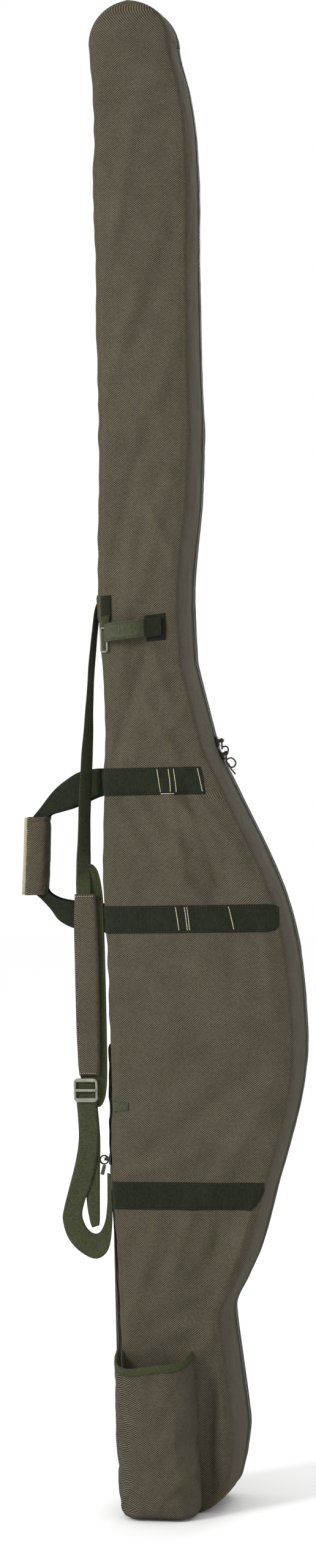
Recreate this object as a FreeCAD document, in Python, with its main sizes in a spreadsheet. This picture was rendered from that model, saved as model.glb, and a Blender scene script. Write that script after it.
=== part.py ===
import FreeCAD, Part
import math
import os
import Sketcher

# A padded case for made-up fishing rods, standing on its butt end.
# X runs from the straight spine to the reel bulge, Y from the front to the back, Z up the case.
# Drawing coordinates start at the spine's outer face, at mid depth, on the floor; every sub-part is
# then shifted so that the frame's origin is the middle of the whole object's footprint.

Vector = FreeCAD.Vector

DIMENSIONS = (
    ("origin_x", 62.96, "footprint middle, from the spine"),
    ("origin_y", -29.8, "footprint middle, from mid depth"),
    ("depth", 130.0, "front face to back face, lower half"),
    ("taper", 50.0, "depth lost towards the tip"),
    ("taper_start", 1150.0, "height where the back starts to lean forward"),
    ("tip_height", 2100.0, "height where the taper ends"),
    ("wall", 4.0, "padded fabric wall"),
    ("padding", 6.0, "inner padding sheet"),
    ("seam_gap", 0.5, "gap between cover and case"),
    ("floor_gap", 4.0, "cover's clearance over the floor"),
    ("zip_place", 0.77, "zip line as a share of the depth"),
    ("zip_split", 1.0, "half gap between the gusset halves"),
    ("tape_width", 12.0, "zip tape seen outside the gusset"),
    ("tape_skin", 1.0, "zip tape thickness"),
    ("teeth_reach", 2.2, "half width of the closed zip chain"),
    ("teeth_gap", 0.2, "half gap between the two chain halves"),
    ("teeth_skin", 2.4, "zip chain height"),
    ("foot_x", 118.0, "end of the flat foot"),
    ("toe_x", 150.0, "cut corner, lower point"),
    ("toe_z", 25.0, "cut corner, lower point"),
    ("corner_x", 164.5, "cut corner, upper point"),
    ("corner_z", 97.0, "cut corner, upper point"),
    ("notch_x", 147.5, "waist above the foot"),
    ("notch_z", 279.0, "waist above the foot"),
    ("bulge_low_x", 184.0, "reel bulge, below"),
    ("bulge_low_z", 347.0, "reel bulge, below"),
    ("bulge_mid_x", 232.0, "reel bulge, lower flank"),
    ("bulge_mid_z", 510.0, "reel bulge, lower flank"),
    ("widest_x", 258.5, "reel bulge, widest"),
    ("widest_z", 650.0, "reel bulge, widest"),
    ("bulge_top_x", 249.0, "reel bulge, upper flank"),
    ("bulge_top_z", 785.0, "reel bulge, upper flank"),
    ("slope_low_x", 206.0, "lower end of the lower straight zip run"),
    ("slope_low_z", 918.0, "lower end of the lower straight zip run"),
    ("slope_mid_x", 141.0, "where the two straight zip runs meet"),
    ("slope_mid_z", 1055.0, "where the two straight zip runs meet"),
    ("neck_x", 112.0, "neck"),
    ("neck_low_z", 1178.0, "neck, upper end of the upper straight zip run"),
    ("neck_high_z", 1250.0, "neck, upper end"),
    ("sleeve_x", 134.0, "rod sleeve"),
    ("sleeve_low_z", 1480.0, "rod sleeve, lower end"),
    ("sleeve_wide_x", 138.0, "rod sleeve, widest"),
    ("sleeve_wide_z", 1843.0, "rod sleeve, widest"),
    ("shoulder_x", 121.0, "where the tip lobe starts"),
    ("shoulder_z", 2000.0, "where the tip lobe starts"),
    ("lobe_x", 57.0, "tip lobe centre"),
    ("lobe_z", 2036.0, "tip lobe centre"),
    ("lobe_radius", 57.5, "tip lobe radius"),
    ("spine_top_z", 2008.0, "end of the spine panel"),
    ("board", 5.0, "stiff base board"),
    ("band_width", 38.0, "handle webbing width"),
    ("webbing", 1.6, "webbing thickness"),
    ("upper_band_z", 995.0, "lower edge of the upper handle band"),
    ("lower_band_z", 804.0, "lower edge of the lower handle band"),
    ("reel_band_z", 421.0, "lower edge of the band below the reels"),
    ("upper_band_x", 138.0, "length of the upper band"),
    ("lower_band_x", 239.0, "length of the lower band"),
    ("reel_band_x", 213.0, "length of the band below the reels"),
    ("pocket_left", 3.0, "butt pocket, left side"),
    ("pocket_right", 109.0, "butt pocket, right side"),
    ("pocket_reach", 60.0, "butt pocket, forward of the front panel"),
    ("pocket_top", 229.0, "butt pocket mouth at the panel"),
    ("pocket_sag", 16.0, "how much lower the lip is in front"),
    ("pocket_skin", 2.5, "butt pocket fabric"),
    ("pocket_round", 30.0, "butt pocket front corner radius"),
    ("binding", 10.0, "pocket lip binding width"),
    ("binding_skin", 1.2, "pocket lip binding thickness"),
    ("strap_width", 25.0, "rod strap width"),
    ("strap_low_z", 1204.0, "rod strap, lower edge"),
    ("strap_arch", 24.0, "rod strap arch height"),
    ("strap_base_x", 66.0, "rod strap patch, left end"),
    ("strap_end_x", 93.0, "rod strap patch, right end"),
    ("ring_x", 5.0, "rod strap ring, middle"),
    ("grip_low_z", 856.0, "grip, lower end"),
    ("grip_high_z", 967.0, "grip, upper end"),
    ("grip_right", -95.0, "grip, inner side"),
    ("grip_left", -133.0, "grip, outer side"),
    ("grip_half", 16.0, "grip, half thickness"),
    ("grip_wall", 3.0, "grip sleeve fabric"),
    ("handle_root", -22.0, "where the free handle straps start"),
    ("handle_spread", 24.0, "half distance between the handle straps"),
    ("handle_angle", 11.6, "turn of each handle strap, degrees"),
    ("carry_y", -58.0, "shoulder strap plane"),
    ("carry_width", 30.0, "shoulder strap webbing width"),
    ("carry_top_z", 1262.0, "shoulder strap, upper end"),
    ("pad_left", -50.0, "shoulder pad, left edge"),
    ("pad_right", -9.0, "shoulder pad, right edge"),
    ("pad_low_z", 606.0, "shoulder pad, lower end"),
    ("pad_high_z", 859.0, "shoulder pad, upper end"),
    ("pad_front_y", -62.0, "shoulder pad, front"),
    ("pad_back_y", -51.0, "shoulder pad, back"),
    ("slider_long", 15.0, "zip slider length"),
    ("slider_wide", 10.0, "zip slider width"),
    ("slider_thick", 2.6, "zip slider plate"),
    ("slider_lift", 0.4, "gap between slider and chain"),
    ("bail_lift", 4.5, "puller pin above the slider plate"),
    ("pin_radius", 1.0, "puller pin"),
    ("puller_hole", 1.7, "puller hole radius"),
    ("puller_long", 13.0, "puller length"),
    ("puller_wide", 5.0, "puller width"),
    ("puller_thick", 1.6, "puller thickness"),
    ("upper_slider_step", 12.0, "upper slider, up from where the runs meet"),
    ("lower_slider_step", 9.0, "lower slider, down from where the runs meet"),
    ("side_front_y", -26.0, "side pocket, front edge"),
    ("side_back_y", 46.0, "side pocket, back edge"),
    ("side_low_z", 190.0, "side pocket, lower edge"),
    ("side_high_z", 650.0, "side pocket, upper edge"),
    ("side_reach", 11.0, "side pocket, out from the spine"),
    ("side_skin", 1.5, "side pocket fabric"),
    ("side_slider_z", 486.0, "side pocket slider height"),
    ("side_ring", 7.0, "side pocket puller ring radius"),
    ("cord_radius", 1.1, "puller cord radius"),
)


class Size:
    """A number that remembers the sheet expression it comes from."""

    def __init__(self, value, text):
        self.value = value
        self.text = text

    def __add__(self, other):
        other = as_size(other)
        return Size(self.value + other.value, f"({self.text} + {other.text})")

    def __sub__(self, other):
        other = as_size(other)
        return Size(self.value - other.value, f"({self.text} - {other.text})")

    def __mul__(self, factor):
        factor = as_size(factor)
        return Size(self.value * factor.value, f"({self.text} * {factor.text})")

    def __neg__(self):
        return Size(-self.value, f"(0 - {self.text})")


def as_size(number):
    if isinstance(number, Size):
        return number
    return Size(float(number), f"({number:.6f})")


VALUES = {name: value for name, value, meaning in DIMENSIONS}


def size(name):
    return Size(VALUES[name], f"Sizes.{name}")


def bind(thing, path, length):
    thing.setExpression(path, as_size(length).text)


document = FreeCAD.newDocument("rod_case")
sub_parts = []


def make_sheet():
    sheet = document.addObject("Spreadsheet::Sheet", "Sizes")
    for row, (name, value, meaning) in enumerate(DIMENSIONS, start=1):
        sheet.set(f"A{row}", name)
        sheet.set(f"B{row}", str(value))
        sheet.set(f"C{row}", meaning)
        sheet.setAlias(f"B{row}", name)
    document.recompute()


def keep(thing, label):
    """Names a sub-part and lists it for the export."""
    thing.Label = label
    sub_parts.append(thing)
    return thing


# ---------------------------------------------------------------- sketches and solids

AXES = {
    "front": (Vector(1, 0, 0), Vector(0, 0, 1)),
    "side": (Vector(0, 1, 0), Vector(0, 0, 1)),
    "plan": (Vector(1, 0, 0), Vector(0, 1, 0)),
}
ORIGIN_PLANES = {"front": "XZ_Plane", "side": "YZ_Plane", "plan": "XY_Plane"}


def draw_polygon(sketch, corners):
    """Draws a closed outline and ties each corner to the sheet."""
    corners = [(as_size(a), as_size(b)) for a, b in corners]
    points = [Vector(a.value, b.value, 0) for a, b in corners]
    count = len(points)
    edges = [Part.LineSegment(points[i], points[(i + 1) % count]) for i in range(count)]
    sketch.addGeometry(edges)
    sketch.addConstraint(
        [Sketcher.Constraint("Coincident", i, 2, (i + 1) % count, 1) for i in range(count)]
    )
    for i, (across, up) in enumerate(corners):
        for kind, length in (("DistanceX", across), ("DistanceY", up)):
            index = sketch.addConstraint(Sketcher.Constraint(kind, i, 1, length.value))
            bind(sketch, f"Constraints[{index}]", length)


def body_sketch(body, plane, corners, level):
    """A sketch on the body's own origin plane, moved along the plane's normal to the level."""
    role = ORIGIN_PLANES[plane]
    support = [item for item in body.Origin.OriginFeatures if item.Role == role][0]
    sketch = body.newObject("Sketcher::SketchObject", body.Name + "_outline")
    sketch.AttachmentSupport = [(support, "")]
    sketch.MapMode = "FlatFace"
    offset = -level if plane == "front" else level
    bind(sketch, "AttachmentOffset.Base.z", offset)
    draw_polygon(sketch, corners)
    return sketch


def pad_body(label, plane, corners, low, high):
    """A body with one pad between two levels across its sketch plane."""
    low = as_size(low)
    high = as_size(high)
    body = document.addObject("PartDesign::Body", label)
    start = high if plane == "front" else low
    pad = body.newObject("PartDesign::Pad", label + "_pad")
    pad.Profile = body_sketch(body, plane, corners, start)
    bind(pad, "Length", high - low)
    body.Tip = pad
    return keep(body, label)


def pocket_through(body, plane, corners):
    """Cuts an outline through the whole body, both ways from the origin plane."""
    sketch = body_sketch(body, plane, corners, as_size(0))
    pocket = body.newObject("PartDesign::Pocket", body.Name + "_window")
    pocket.Profile = sketch
    pocket.Type = "ThroughAll"
    pocket.SideType = "Symmetric"
    body.Tip = pocket


def pocket_above(body, corners, floor):
    """Hollows a body from a plan outline upwards, leaving what is under the floor level."""
    sketch = body_sketch(body, "plan", corners, floor)
    pocket = body.newObject("PartDesign::Pocket", body.Name + "_hollow")
    pocket.Profile = sketch
    pocket.Type = "ThroughAll"
    pocket.Reversed = True
    body.Tip = pocket


def free_sketch(name, plane, corners, level):
    """A sketch for a plain extrusion, which stands at the level along the plane's normal."""
    across, up = AXES[plane]
    sketch = document.addObject("Sketcher::SketchObject", name)
    sketch.Placement = FreeCAD.Placement(
        Vector(0, 0, 0), FreeCAD.Rotation(across, up, across.cross(up))
    )
    letter = {"front": "y", "side": "x", "plan": "z"}[plane]
    bind(sketch, f"Placement.Base.{letter}", level)
    draw_polygon(sketch, corners)
    return sketch


def prism(name, plane, corners, low, high):
    """An extrusion of an outline between two levels."""
    low = as_size(low)
    high = as_size(high)
    thing = document.addObject("Part::Extrusion", name)
    thing.Base = free_sketch(name + "_outline", plane, corners, low)
    thing.DirMode = "Custom"
    thing.Dir = {"front": Vector(0, 1, 0), "side": Vector(1, 0, 0), "plan": Vector(0, 0, 1)}[plane]
    bind(thing, "LengthFwd", high - low)
    thing.Solid = True
    return thing


def common(name, first, second):
    thing = document.addObject("Part::Common", name)
    thing.Base = first
    thing.Tool = second
    return thing


# ---------------------------------------------------------------- the case's outline

LOBE_TURNS = (8, 36, 64, 90, 116, 144, 172, 196)


def edge_path():
    """The case's edge in front view, from the foot round the reel bulge and the tip to the spine."""
    named = ("toe", "corner", "notch", "bulge_low", "bulge_mid", "widest", "bulge_top",
             "slope_low", "slope_mid")
    path = [(size("foot_x"), as_size(0))]
    path += [(size(name + "_x"), size(name + "_z")) for name in named]
    path += [
        (size("neck_x"), size("neck_low_z")),
        (size("neck_x"), size("neck_high_z")),
        (size("sleeve_x"), size("sleeve_low_z")),
        (size("sleeve_wide_x"), size("sleeve_wide_z")),
        (size("shoulder_x"), size("shoulder_z")),
    ]
    for turn in LOBE_TURNS:
        angle = math.radians(turn)
        path.append((size("lobe_x") + size("lobe_radius") * math.cos(angle),
                     size("lobe_z") + size("lobe_radius") * math.sin(angle)))
    path.append((as_size(0), size("spine_top_z") + 1))
    return path


def outward_turns(path):
    """For each point of the path, the outward step that moves every side out by one unit."""
    flat = [(across.value, up.value) for across, up in path]
    normals = []
    for (x0, z0), (x1, z1) in zip(flat, flat[1:]):
        run = math.hypot(x1 - x0, z1 - z0)
        normals.append(((z1 - z0) / run, (x0 - x1) / run))
    turns = []
    for i in range(len(flat)):
        before = normals[max(i - 1, 0)]
        after = normals[min(i, len(normals) - 1)]
        middle = (before[0] + after[0], before[1] + after[1])
        scale = 2.0 / (middle[0] ** 2 + middle[1] ** 2)
        turns.append((middle[0] * scale, middle[1] * scale))
    return turns


def shifted_path(path, outward):
    """The path moved outward by a size, or inward where the size is negative."""
    outward = as_size(outward)
    return [(across + outward * turn[0], up + outward * turn[1])
            for (across, up), turn in zip(path, outward_turns(path))]


def ring_corners(outer, inner):
    """A closed strip along the edge path, between two outward shifts."""
    path = edge_path()
    return shifted_path(path, outer) + shifted_path(path, inner)[::-1]


def depth_line(share, step):
    """Y of a line at a share of the depth plus a step: its place below the taper and at the tip."""
    share = as_size(share)
    front = -size("depth") * 0.5
    low = front + size("depth") * share + step
    high = front + (size("depth") - size("taper")) * share + step
    return low, high


def slab_corners(near, far, bottom):
    """A layer across the depth, in side view. near and far are (share of depth, step)."""
    near_low, near_high = depth_line(*near)
    far_low, far_high = depth_line(*far)
    corners = [(near_low, bottom), (far_low, bottom)]
    if near[0] != 0 or far[0] != 0:
        corners.append((far_low, size("taper_start")))
    corners += [(far_high, size("tip_height")), (near_high, size("tip_height"))]
    if near[0] != 0:
        corners.append((near_low, size("taper_start")))
    return corners


def slab(name, near, far, bottom):
    return prism(name, "side", slab_corners(near, far, bottom), -20, 300)


ZIP = size("zip_place")
FRONT = 0
BACK = 1


def panel(label, outline, near, far, bottom):
    """A flat layer of the case: an outline cut to a layer of the depth."""
    return keep(common(label, outline, slab(label + "_layer", near, far, bottom)), label)


# ---------------------------------------------------------------- case body, cover and gussets

def make_panels():
    half = size("depth") * 0.5
    wall = size("wall")
    padding = size("padding")
    whole = [(as_size(0), as_size(0))] + edge_path()
    outline = prism("case_outline", "front", whole, -half, half)
    inner_path = shifted_path(edge_path(), -(wall + 2))
    inside = [(wall + 2, size("board") + 2), (size("foot_x") - 4, size("board") + 2)]
    inside += inner_path[1:-2] + [(wall + 2, size("spine_top_z") - 10)]
    lining = prism("lining_outline", "front", inside, -half, half)
    panel("front_panel", outline, (FRONT, 0), (FRONT, wall), size("floor_gap"))
    panel("back_panel", outline, (BACK, -wall), (BACK, 0), 0)
    panel("front_padding", lining, (FRONT, wall), (FRONT, wall + padding), 0)
    panel("back_padding", lining, (BACK, -(wall + padding)), (BACK, -wall), 0)


def gusset(label, near, far, bottom):
    """One half of the gusset: a flat length of fabric for each run of the edge, mitred to the next."""
    half = size("depth") * 0.5
    outer = shifted_path(edge_path(), 0)
    inner = shifted_path(edge_path(), -size("wall"))
    layer = slab(label + "_layer", near, far, bottom)
    runs = []
    for i in range(len(outer) - 1):
        corners = [outer[i], outer[i + 1], inner[i + 1], inner[i]]
        length = prism(f"{label}_length_{i}", "front", corners, -half, half)
        runs.append(common(f"{label}_run_{i}", length, layer))
    whole = document.addObject("Part::Compound", label)
    whole.Links = runs
    keep(whole, label)


def make_gussets():
    wall = size("wall")
    split = size("zip_split")
    gusset("front_gusset", (FRONT, wall), (ZIP, -split), size("floor_gap") + 2)
    gusset("rear_gusset", (ZIP, split), (BACK, -wall), 0)


def make_zip():
    half = size("depth") * 0.5
    reach = size("teeth_reach")
    gap = size("teeth_gap")
    width = size("tape_width")
    low = size("toe_z") + 30
    tape = prism("tape_ring", "front", ring_corners(size("tape_skin"), 0), -half, half)
    chain = prism("chain_ring", "front", ring_corners(size("teeth_skin"), 0), -half, half)
    panel("front_zip_tape", tape, (ZIP, -(reach + width)), (ZIP, -reach), low)
    panel("rear_zip_tape", tape, (ZIP, reach), (ZIP, reach + width), low)
    panel("front_zip_chain", chain, (ZIP, -reach), (ZIP, -gap), low)
    panel("rear_zip_chain", chain, (ZIP, gap), (ZIP, reach), low)


def make_spine():
    wall = size("wall")
    bottom_near, _ = depth_line(FRONT, wall + size("seam_gap"))
    far_low, far_high = depth_line(BACK, -wall)
    lean = (size("spine_top_z").value - VALUES["taper_start"]) / (
        VALUES["tip_height"] - VALUES["taper_start"])
    far_top = far_low + (far_high - far_low) * lean
    top = size("spine_top_z")
    corners = [(bottom_near, 0), (far_low, 0), (far_low, size("taper_start")),
               (far_top, top), (bottom_near, top)]
    pad_body("spine_panel", "side", corners, 0, wall)


def make_base():
    wall = size("wall")
    half = size("depth") * 0.5
    front = -half + wall + 1
    back = half - wall
    right = size("foot_x") - 4
    corners = [(wall, front), (right, front), (right, back), (wall, back)]
    pad_body("base_board", "plan", corners, 0, size("board"))


# ---------------------------------------------------------------- webbing on the panels

def band_corners(low, top_end, bottom_end):
    high = low + size("band_width")
    return [(0.5, low), (bottom_end, low), (top_end, high), (0.5, high)]


def make_bands():
    front = -size("depth") * 0.5
    back = size("depth") * 0.5
    skin = size("webbing")
    bands = (("upper", size("upper_band_z"), size("upper_band_x"), 4),
             ("lower", size("lower_band_z"), size("lower_band_x"), 4),
             ("reel", size("reel_band_z"), size("reel_band_x"), -13))
    for name, low, end, slant in bands:
        corners = band_corners(low, end, end + slant)
        pad_body(f"front_{name}_band", "front", corners, front - skin, front)
        pad_body(f"rear_{name}_band", "front", corners, back, back + skin)
    tab_low = size("lower_band_z") - 247
    tab = [(1, tab_low), (25, tab_low), (25, tab_low + 13), (1, tab_low + 13)]
    pad_body("side_tab", "front", tab, front - skin, front)


def make_anchors():
    """Webbing ends sewn to the spine's left face, where the handle and the shoulder strap start."""
    skin = size("webbing")
    wall = size("wall")
    near = -size("depth") * 0.5 + wall + 1
    far = size("depth") * 0.5
    root = size("handle_spread")
    for side, start, end in (("front", near, -root), ("rear", root, far)):
        anchor = pad_body(f"{side}_handle_anchors", "side",
                          [(start, size("lower_band_z")), (end, size("lower_band_z")),
                           (end, size("upper_band_z") + size("band_width")),
                           (start, size("upper_band_z") + size("band_width"))],
                          -skin, 0)
        gap_low = size("lower_band_z") + size("band_width")
        pocket_through(anchor, "side", [(start - 5, gap_low), (end + 5, gap_low),
                                        (end + 5, size("upper_band_z")),
                                        (start - 5, size("upper_band_z"))])
    upper = size("carry_top_z")
    pad_body("upper_strap_anchor", "side",
             [(near, upper - 24), (near + 29, upper - 24), (near + 29, upper + 12), (near, upper + 12)],
             -skin, 0)
    pad_body("lower_strap_anchor", "side", [(near, 446), (near + 26, 446), (near + 26, 482), (near, 482)],
             -skin, 0)


def make_ties():
    """Two hook-and-loop ties inside, sewn to the back padding, which hold the rods."""
    face = size("depth") * 0.5 - size("wall") - size("padding")
    for name, low in (("lower", 330), ("upper", 1090)):
        body = pad_body(f"{name}_rod_tie", "front",
                        [(20, low), (96, low), (96, low + 38), (20, low + 38)], face - 6, face)
        pocket_through(body, "plan", [(30, face - 4), (86, face - 4), (86, face - 2), (30, face - 2)])


# ---------------------------------------------------------------- butt pocket

def pocket_outline(grow):
    """D-shaped plan of the butt pocket, moved outward by a size; round corners as short chords."""
    front = -size("depth") * 0.5
    left = size("pocket_left") - grow
    right = size("pocket_right") + grow
    reach = front - size("pocket_reach") - grow
    radius = size("pocket_round") + grow
    corners = [(left, front)]
    for start, across in ((180, left + radius), (270, right - radius)):
        for step in range(6):
            angle = math.radians(start + step * 18)
            corners.append((across + radius * math.cos(angle), reach + radius + radius * math.sin(angle)))
    corners.append((right, front))
    return corners


def lip_cut(drop, above):
    """Side view of what is cut away above, or below, the slanted lip of the butt pocket."""
    front = -size("depth") * 0.5
    reach = front - size("pocket_reach") - 5
    high = size("pocket_top") - drop
    low = high - size("pocket_sag")
    limit = high + 60 if above else as_size(-20)
    return [(front + 5, high), (reach, low), (reach, limit), (front + 5, limit)]


def make_butt_pocket():
    skin = size("pocket_skin")
    floor = size("floor_gap")
    top = size("pocket_top")
    base_top = floor + 4
    cup = pad_body("butt_pocket", "plan", pocket_outline(as_size(0)), base_top, top)
    pocket_above(cup, pocket_outline(-skin), base_top)
    pocket_through(cup, "side", lip_cut(as_size(0), True))
    pad_body("butt_pocket_base", "plan", pocket_outline(as_size(0)), floor, base_top)
    lip = pad_body("butt_pocket_binding", "plan", pocket_outline(size("binding_skin")),
                   top - size("binding") - size("pocket_sag") - 4, top)
    pocket_through(lip, "plan", pocket_outline(as_size(0)))
    pocket_through(lip, "side", lip_cut(as_size(0.3), True))
    pocket_through(lip, "side", lip_cut(size("binding"), False))


# ---------------------------------------------------------------- rod strap

def make_rod_strap():
    """The front strap round the outside rods: ring and tab at the left, patch at the right."""
    front = -size("depth") * 0.5
    skin = size("webbing")
    low = size("strap_low_z")
    high = low + size("strap_width")
    middle = size("ring_x")
    pad_body("rod_strap_patch", "front",
             [(size("strap_base_x"), low + 12), (size("strap_end_x"), low + 16),
              (size("strap_end_x"), high + 15), (size("strap_base_x"), high + 12)],
             front - skin, front)
    pad_body("edge_webbing", "front", [(0.5, high + 9), (16, high + 9), (16, high + 44), (0.5, high + 44)],
             front - skin, front)
    pad_body("ring_tab", "front",
             [(2, high + 2), (13, high + 2), (13, high + 14), (9, high + 17), (2, high + 14)],
             front - skin - 1.4, front - skin)
    ring = pad_body("rod_strap_ring", "front",
                    [(middle - 4.5, low - 6), (middle + 4.5, low - 6), (middle + 4.5, high + 2),
                     (middle - 4.5, high + 2)], front - skin - 3, front - skin)
    pocket_through(ring, "front", [(middle - 1.8, low - 3), (middle + 1.8, low - 3),
                                   (middle + 1.8, high - 1), (middle - 1.8, high - 1)])
    make_strap_arch(low, high, front, skin)


def make_strap_arch(low, high, front, skin):
    """The moving strap, arched over the rods, and the hook patch under its free end."""
    near = front - skin - 6
    crest = front - size("strap_arch") - skin
    left = size("ring_x") - 3
    right = size("strap_base_x")
    end = size("strap_end_x") - 6
    outer = [(left, near), (left + 8, crest - skin), (right - 14, crest - skin), (right + 1, near),
             (end, near)]
    inner = [(end, near + skin), (right, near + skin), (right - 15, crest), (left + 9, crest),
             (left + 1.8, near + skin)]
    pad_body("rod_strap", "plan", outer + inner, low + 5, high + 5)
    pad_body("rod_strap_hook", "plan",
             [(right + 3, near + skin), (end, near + skin), (end, near + skin + 1.5),
              (right + 3, near + skin + 1.5)], low + 6, high + 4)


# ---------------------------------------------------------------- carry handle

def handle_outline():
    """One handle strap in its own plane: upper leg, the run inside the grip, lower leg."""
    root = size("handle_root")
    upper = size("upper_band_z")
    lower = size("lower_band_z")
    width = size("band_width")
    grip_out = size("grip_left") + 6
    grip_in = size("grip_right") - 7
    low = size("grip_low_z")
    high = size("grip_high_z")
    return [(root, upper), (root, upper + width), (root - 24, upper + width - 4),
            (root - 63, upper + 12), (root - 87, high + 4), (grip_out, high - 10), (grip_out, low + 10),
            (root - 89, low - 2), (root - 74, low - 20), (root - 61, low - 37), (root - 37, lower + 5),
            (root, lower), (root, lower + width), (root - 37, lower + width + 3), (root - 66, low - 6),
            (grip_in, low - 2), (grip_in, high + 2), (root - 61, high + 4), (root - 21, upper - 10)]


def make_handle():
    skin = size("webbing")
    angle = size("handle_angle")
    for side, turn in (("front", angle), ("rear", -angle)):
        strap = pad_body(f"{side}_handle_strap", "front", handle_outline(), -skin * 0.5, skin * 0.5)
        spread = -size("handle_spread") if side == "front" else size("handle_spread")
        place_turned(strap, turn, size("handle_root"), spread)
    left = size("grip_left")
    right = size("grip_right")
    half = size("grip_half")
    wall = size("grip_wall")
    corners = [(left, -half * 0.45), (left + 7, -half), (right - 5, -half), (right, -half * 0.6),
               (right, half * 0.6), (right - 5, half), (left + 7, half), (left, half * 0.45)]
    inside = [(left + wall, -half * 0.4), (left + 8, -half + wall), (right - 6, -half + wall),
              (right - wall, -half * 0.5), (right - wall, half * 0.5), (right - 6, half - wall),
              (left + 8, half - wall), (left + wall, half * 0.4)]
    grip = pad_body("grip_sleeve", "plan", corners, size("grip_low_z"), size("grip_high_z"))
    pocket_through(grip, "plan", inside)
    pad_body("grip_closure", "plan",
             [(left - 2, -half * 0.42), (left, -half * 0.42), (left, half * 0.42), (left - 2, half * 0.42)],
             size("grip_low_z"), size("grip_high_z"))


def place_turned(body, turn, pivot_x, pivot_y):
    """Turns a body drawn on the XZ plane about the vertical through (pivot_x, 0), then moves it in Y.
    A positive turn carries its far left end towards the mid depth of the case."""
    body.Placement = FreeCAD.Placement(Vector(0, 0, 0), FreeCAD.Rotation(Vector(0, 0, 1), 0))
    bind(body, "Placement.Rotation.Angle", -turn)
    cosine = math.cos(math.radians(turn.value))
    sine = math.sin(math.radians(turn.value))
    bind(body, "Placement.Base.x", pivot_x - pivot_x * cosine - size("origin_x"))
    bind(body, "Placement.Base.y", pivot_y + pivot_x * sine - size("origin_y"))


# ---------------------------------------------------------------- shoulder strap

def make_strap_web():
    """The webbing down to the pad, which twists from edge-on at the top to half open."""
    width = size("carry_width")
    middle = size("carry_y") + width * 0.5 - 2
    stations = (
        (size("carry_top_z"), -5.0, middle, 90),
        (size("carry_top_z") - 80, -16.0, middle - 1, 75),
        (size("carry_top_z") - 200, -23.5, middle - 2, 62),
        (size("pad_high_z") + 42, -31.5, middle - 3, 50),
    )
    sections = []
    for place, (height, across, deep, turn) in enumerate(stations):
        sketch = document.addObject("Sketcher::SketchObject", f"strap_station_{place}")
        half = width * 0.5
        skin = size("webbing") * 0.5
        draw_polygon(sketch, [(-half, -skin), (half, -skin), (half, skin), (-half, skin)])
        sketch.Placement = FreeCAD.Placement(
            Vector(across, 0, 0), FreeCAD.Rotation(Vector(0, 0, 1), turn))
        bind(sketch, "Placement.Base.y", deep)
        bind(sketch, "Placement.Base.z", height)
        sections.append(sketch)
    loft = document.addObject("Part::Loft", "strap_webbing")
    loft.Sections = sections
    loft.Solid = True
    loft.Ruled = True
    keep(loft, "strap_webbing")


def make_pad():
    left = size("pad_left")
    right = size("pad_right")
    low = size("pad_low_z")
    high = size("pad_high_z")
    front = size("pad_front_y")
    back = size("pad_back_y")
    pad_body("shoulder_pad", "front",
             [(left + 5, low), (right - 4, low), (right - 4, high - 14), (right - 16, high),
              (left + 3, high), (left, high - 60), (left, low + 80)], front, back - 2)
    pad_body("pad_binding", "front",
             [(left + 4, low + 2), (left + 20, low - 22), (right - 14, low - 45), (right - 3, low - 30),
              (right, low + 60), (right, high - 20), (right - 10, high + 38), (right - 17, high + 40),
              (left + 6, high + 2), (left, high - 40)], back - 2, back)


def make_ladder_lock():
    left = size("pad_left") - 5
    right = left + 34
    low = size("pad_low_z") - 37
    high = low + 33
    front = size("pad_front_y") + 0.5
    lock = pad_body("ladder_lock", "front", [(left, low), (right, low), (right, high), (left, high)],
                    front, front + 3)
    for bottom, top in ((low + 4, low + 13), (low + 18, low + 28)):
        pocket_through(lock, "front", [(left + 4, bottom), (right - 4, bottom), (right - 4, top),
                                       (left + 4, top)])


def make_lower_web():
    """The adjuster webbing: down from the ladder lock, a loose loop, and back up to its anchor."""
    plane = size("carry_y") + 2
    skin = size("webbing") * 0.5
    start = size("pad_low_z") - 26
    left = [(-53, start), (-50, 517), (-66, 449), (-76, 405), (-68, 378), (-50, 359), (-27, 350),
            (-10, 366), (-4.5, 405), (-5, 470)]
    right = [(-11, 470), (-12, 420), (-20, 392), (-31, 384), (-44, 396), (-48, 415), (-35, 452),
             (-22, 517), (-24, start)]
    pad_body("adjuster_webbing", "front", left + right, plane - skin, plane + skin)
    top = start - 24
    tail = [(-46, top), (-43, 517), (-42, 440), (-36, 392), (-24, 396), (-23, 440), (-20, 517),
            (-24, top)]
    pad_body("webbing_tail", "front", tail, plane + skin + 1.5, plane + skin * 3 + 1.5)


# ---------------------------------------------------------------- zip sliders and pullers

def run_frame(low_x, low_z, high_x, high_z):
    """Unit steps up a straight zip run and out from it, in X and Z."""
    across = VALUES[high_x] - VALUES[low_x]
    up = VALUES[high_z] - VALUES[low_z]
    run = math.hypot(across, up)
    return (across / run, up / run), (up / run, -across / run)


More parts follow.
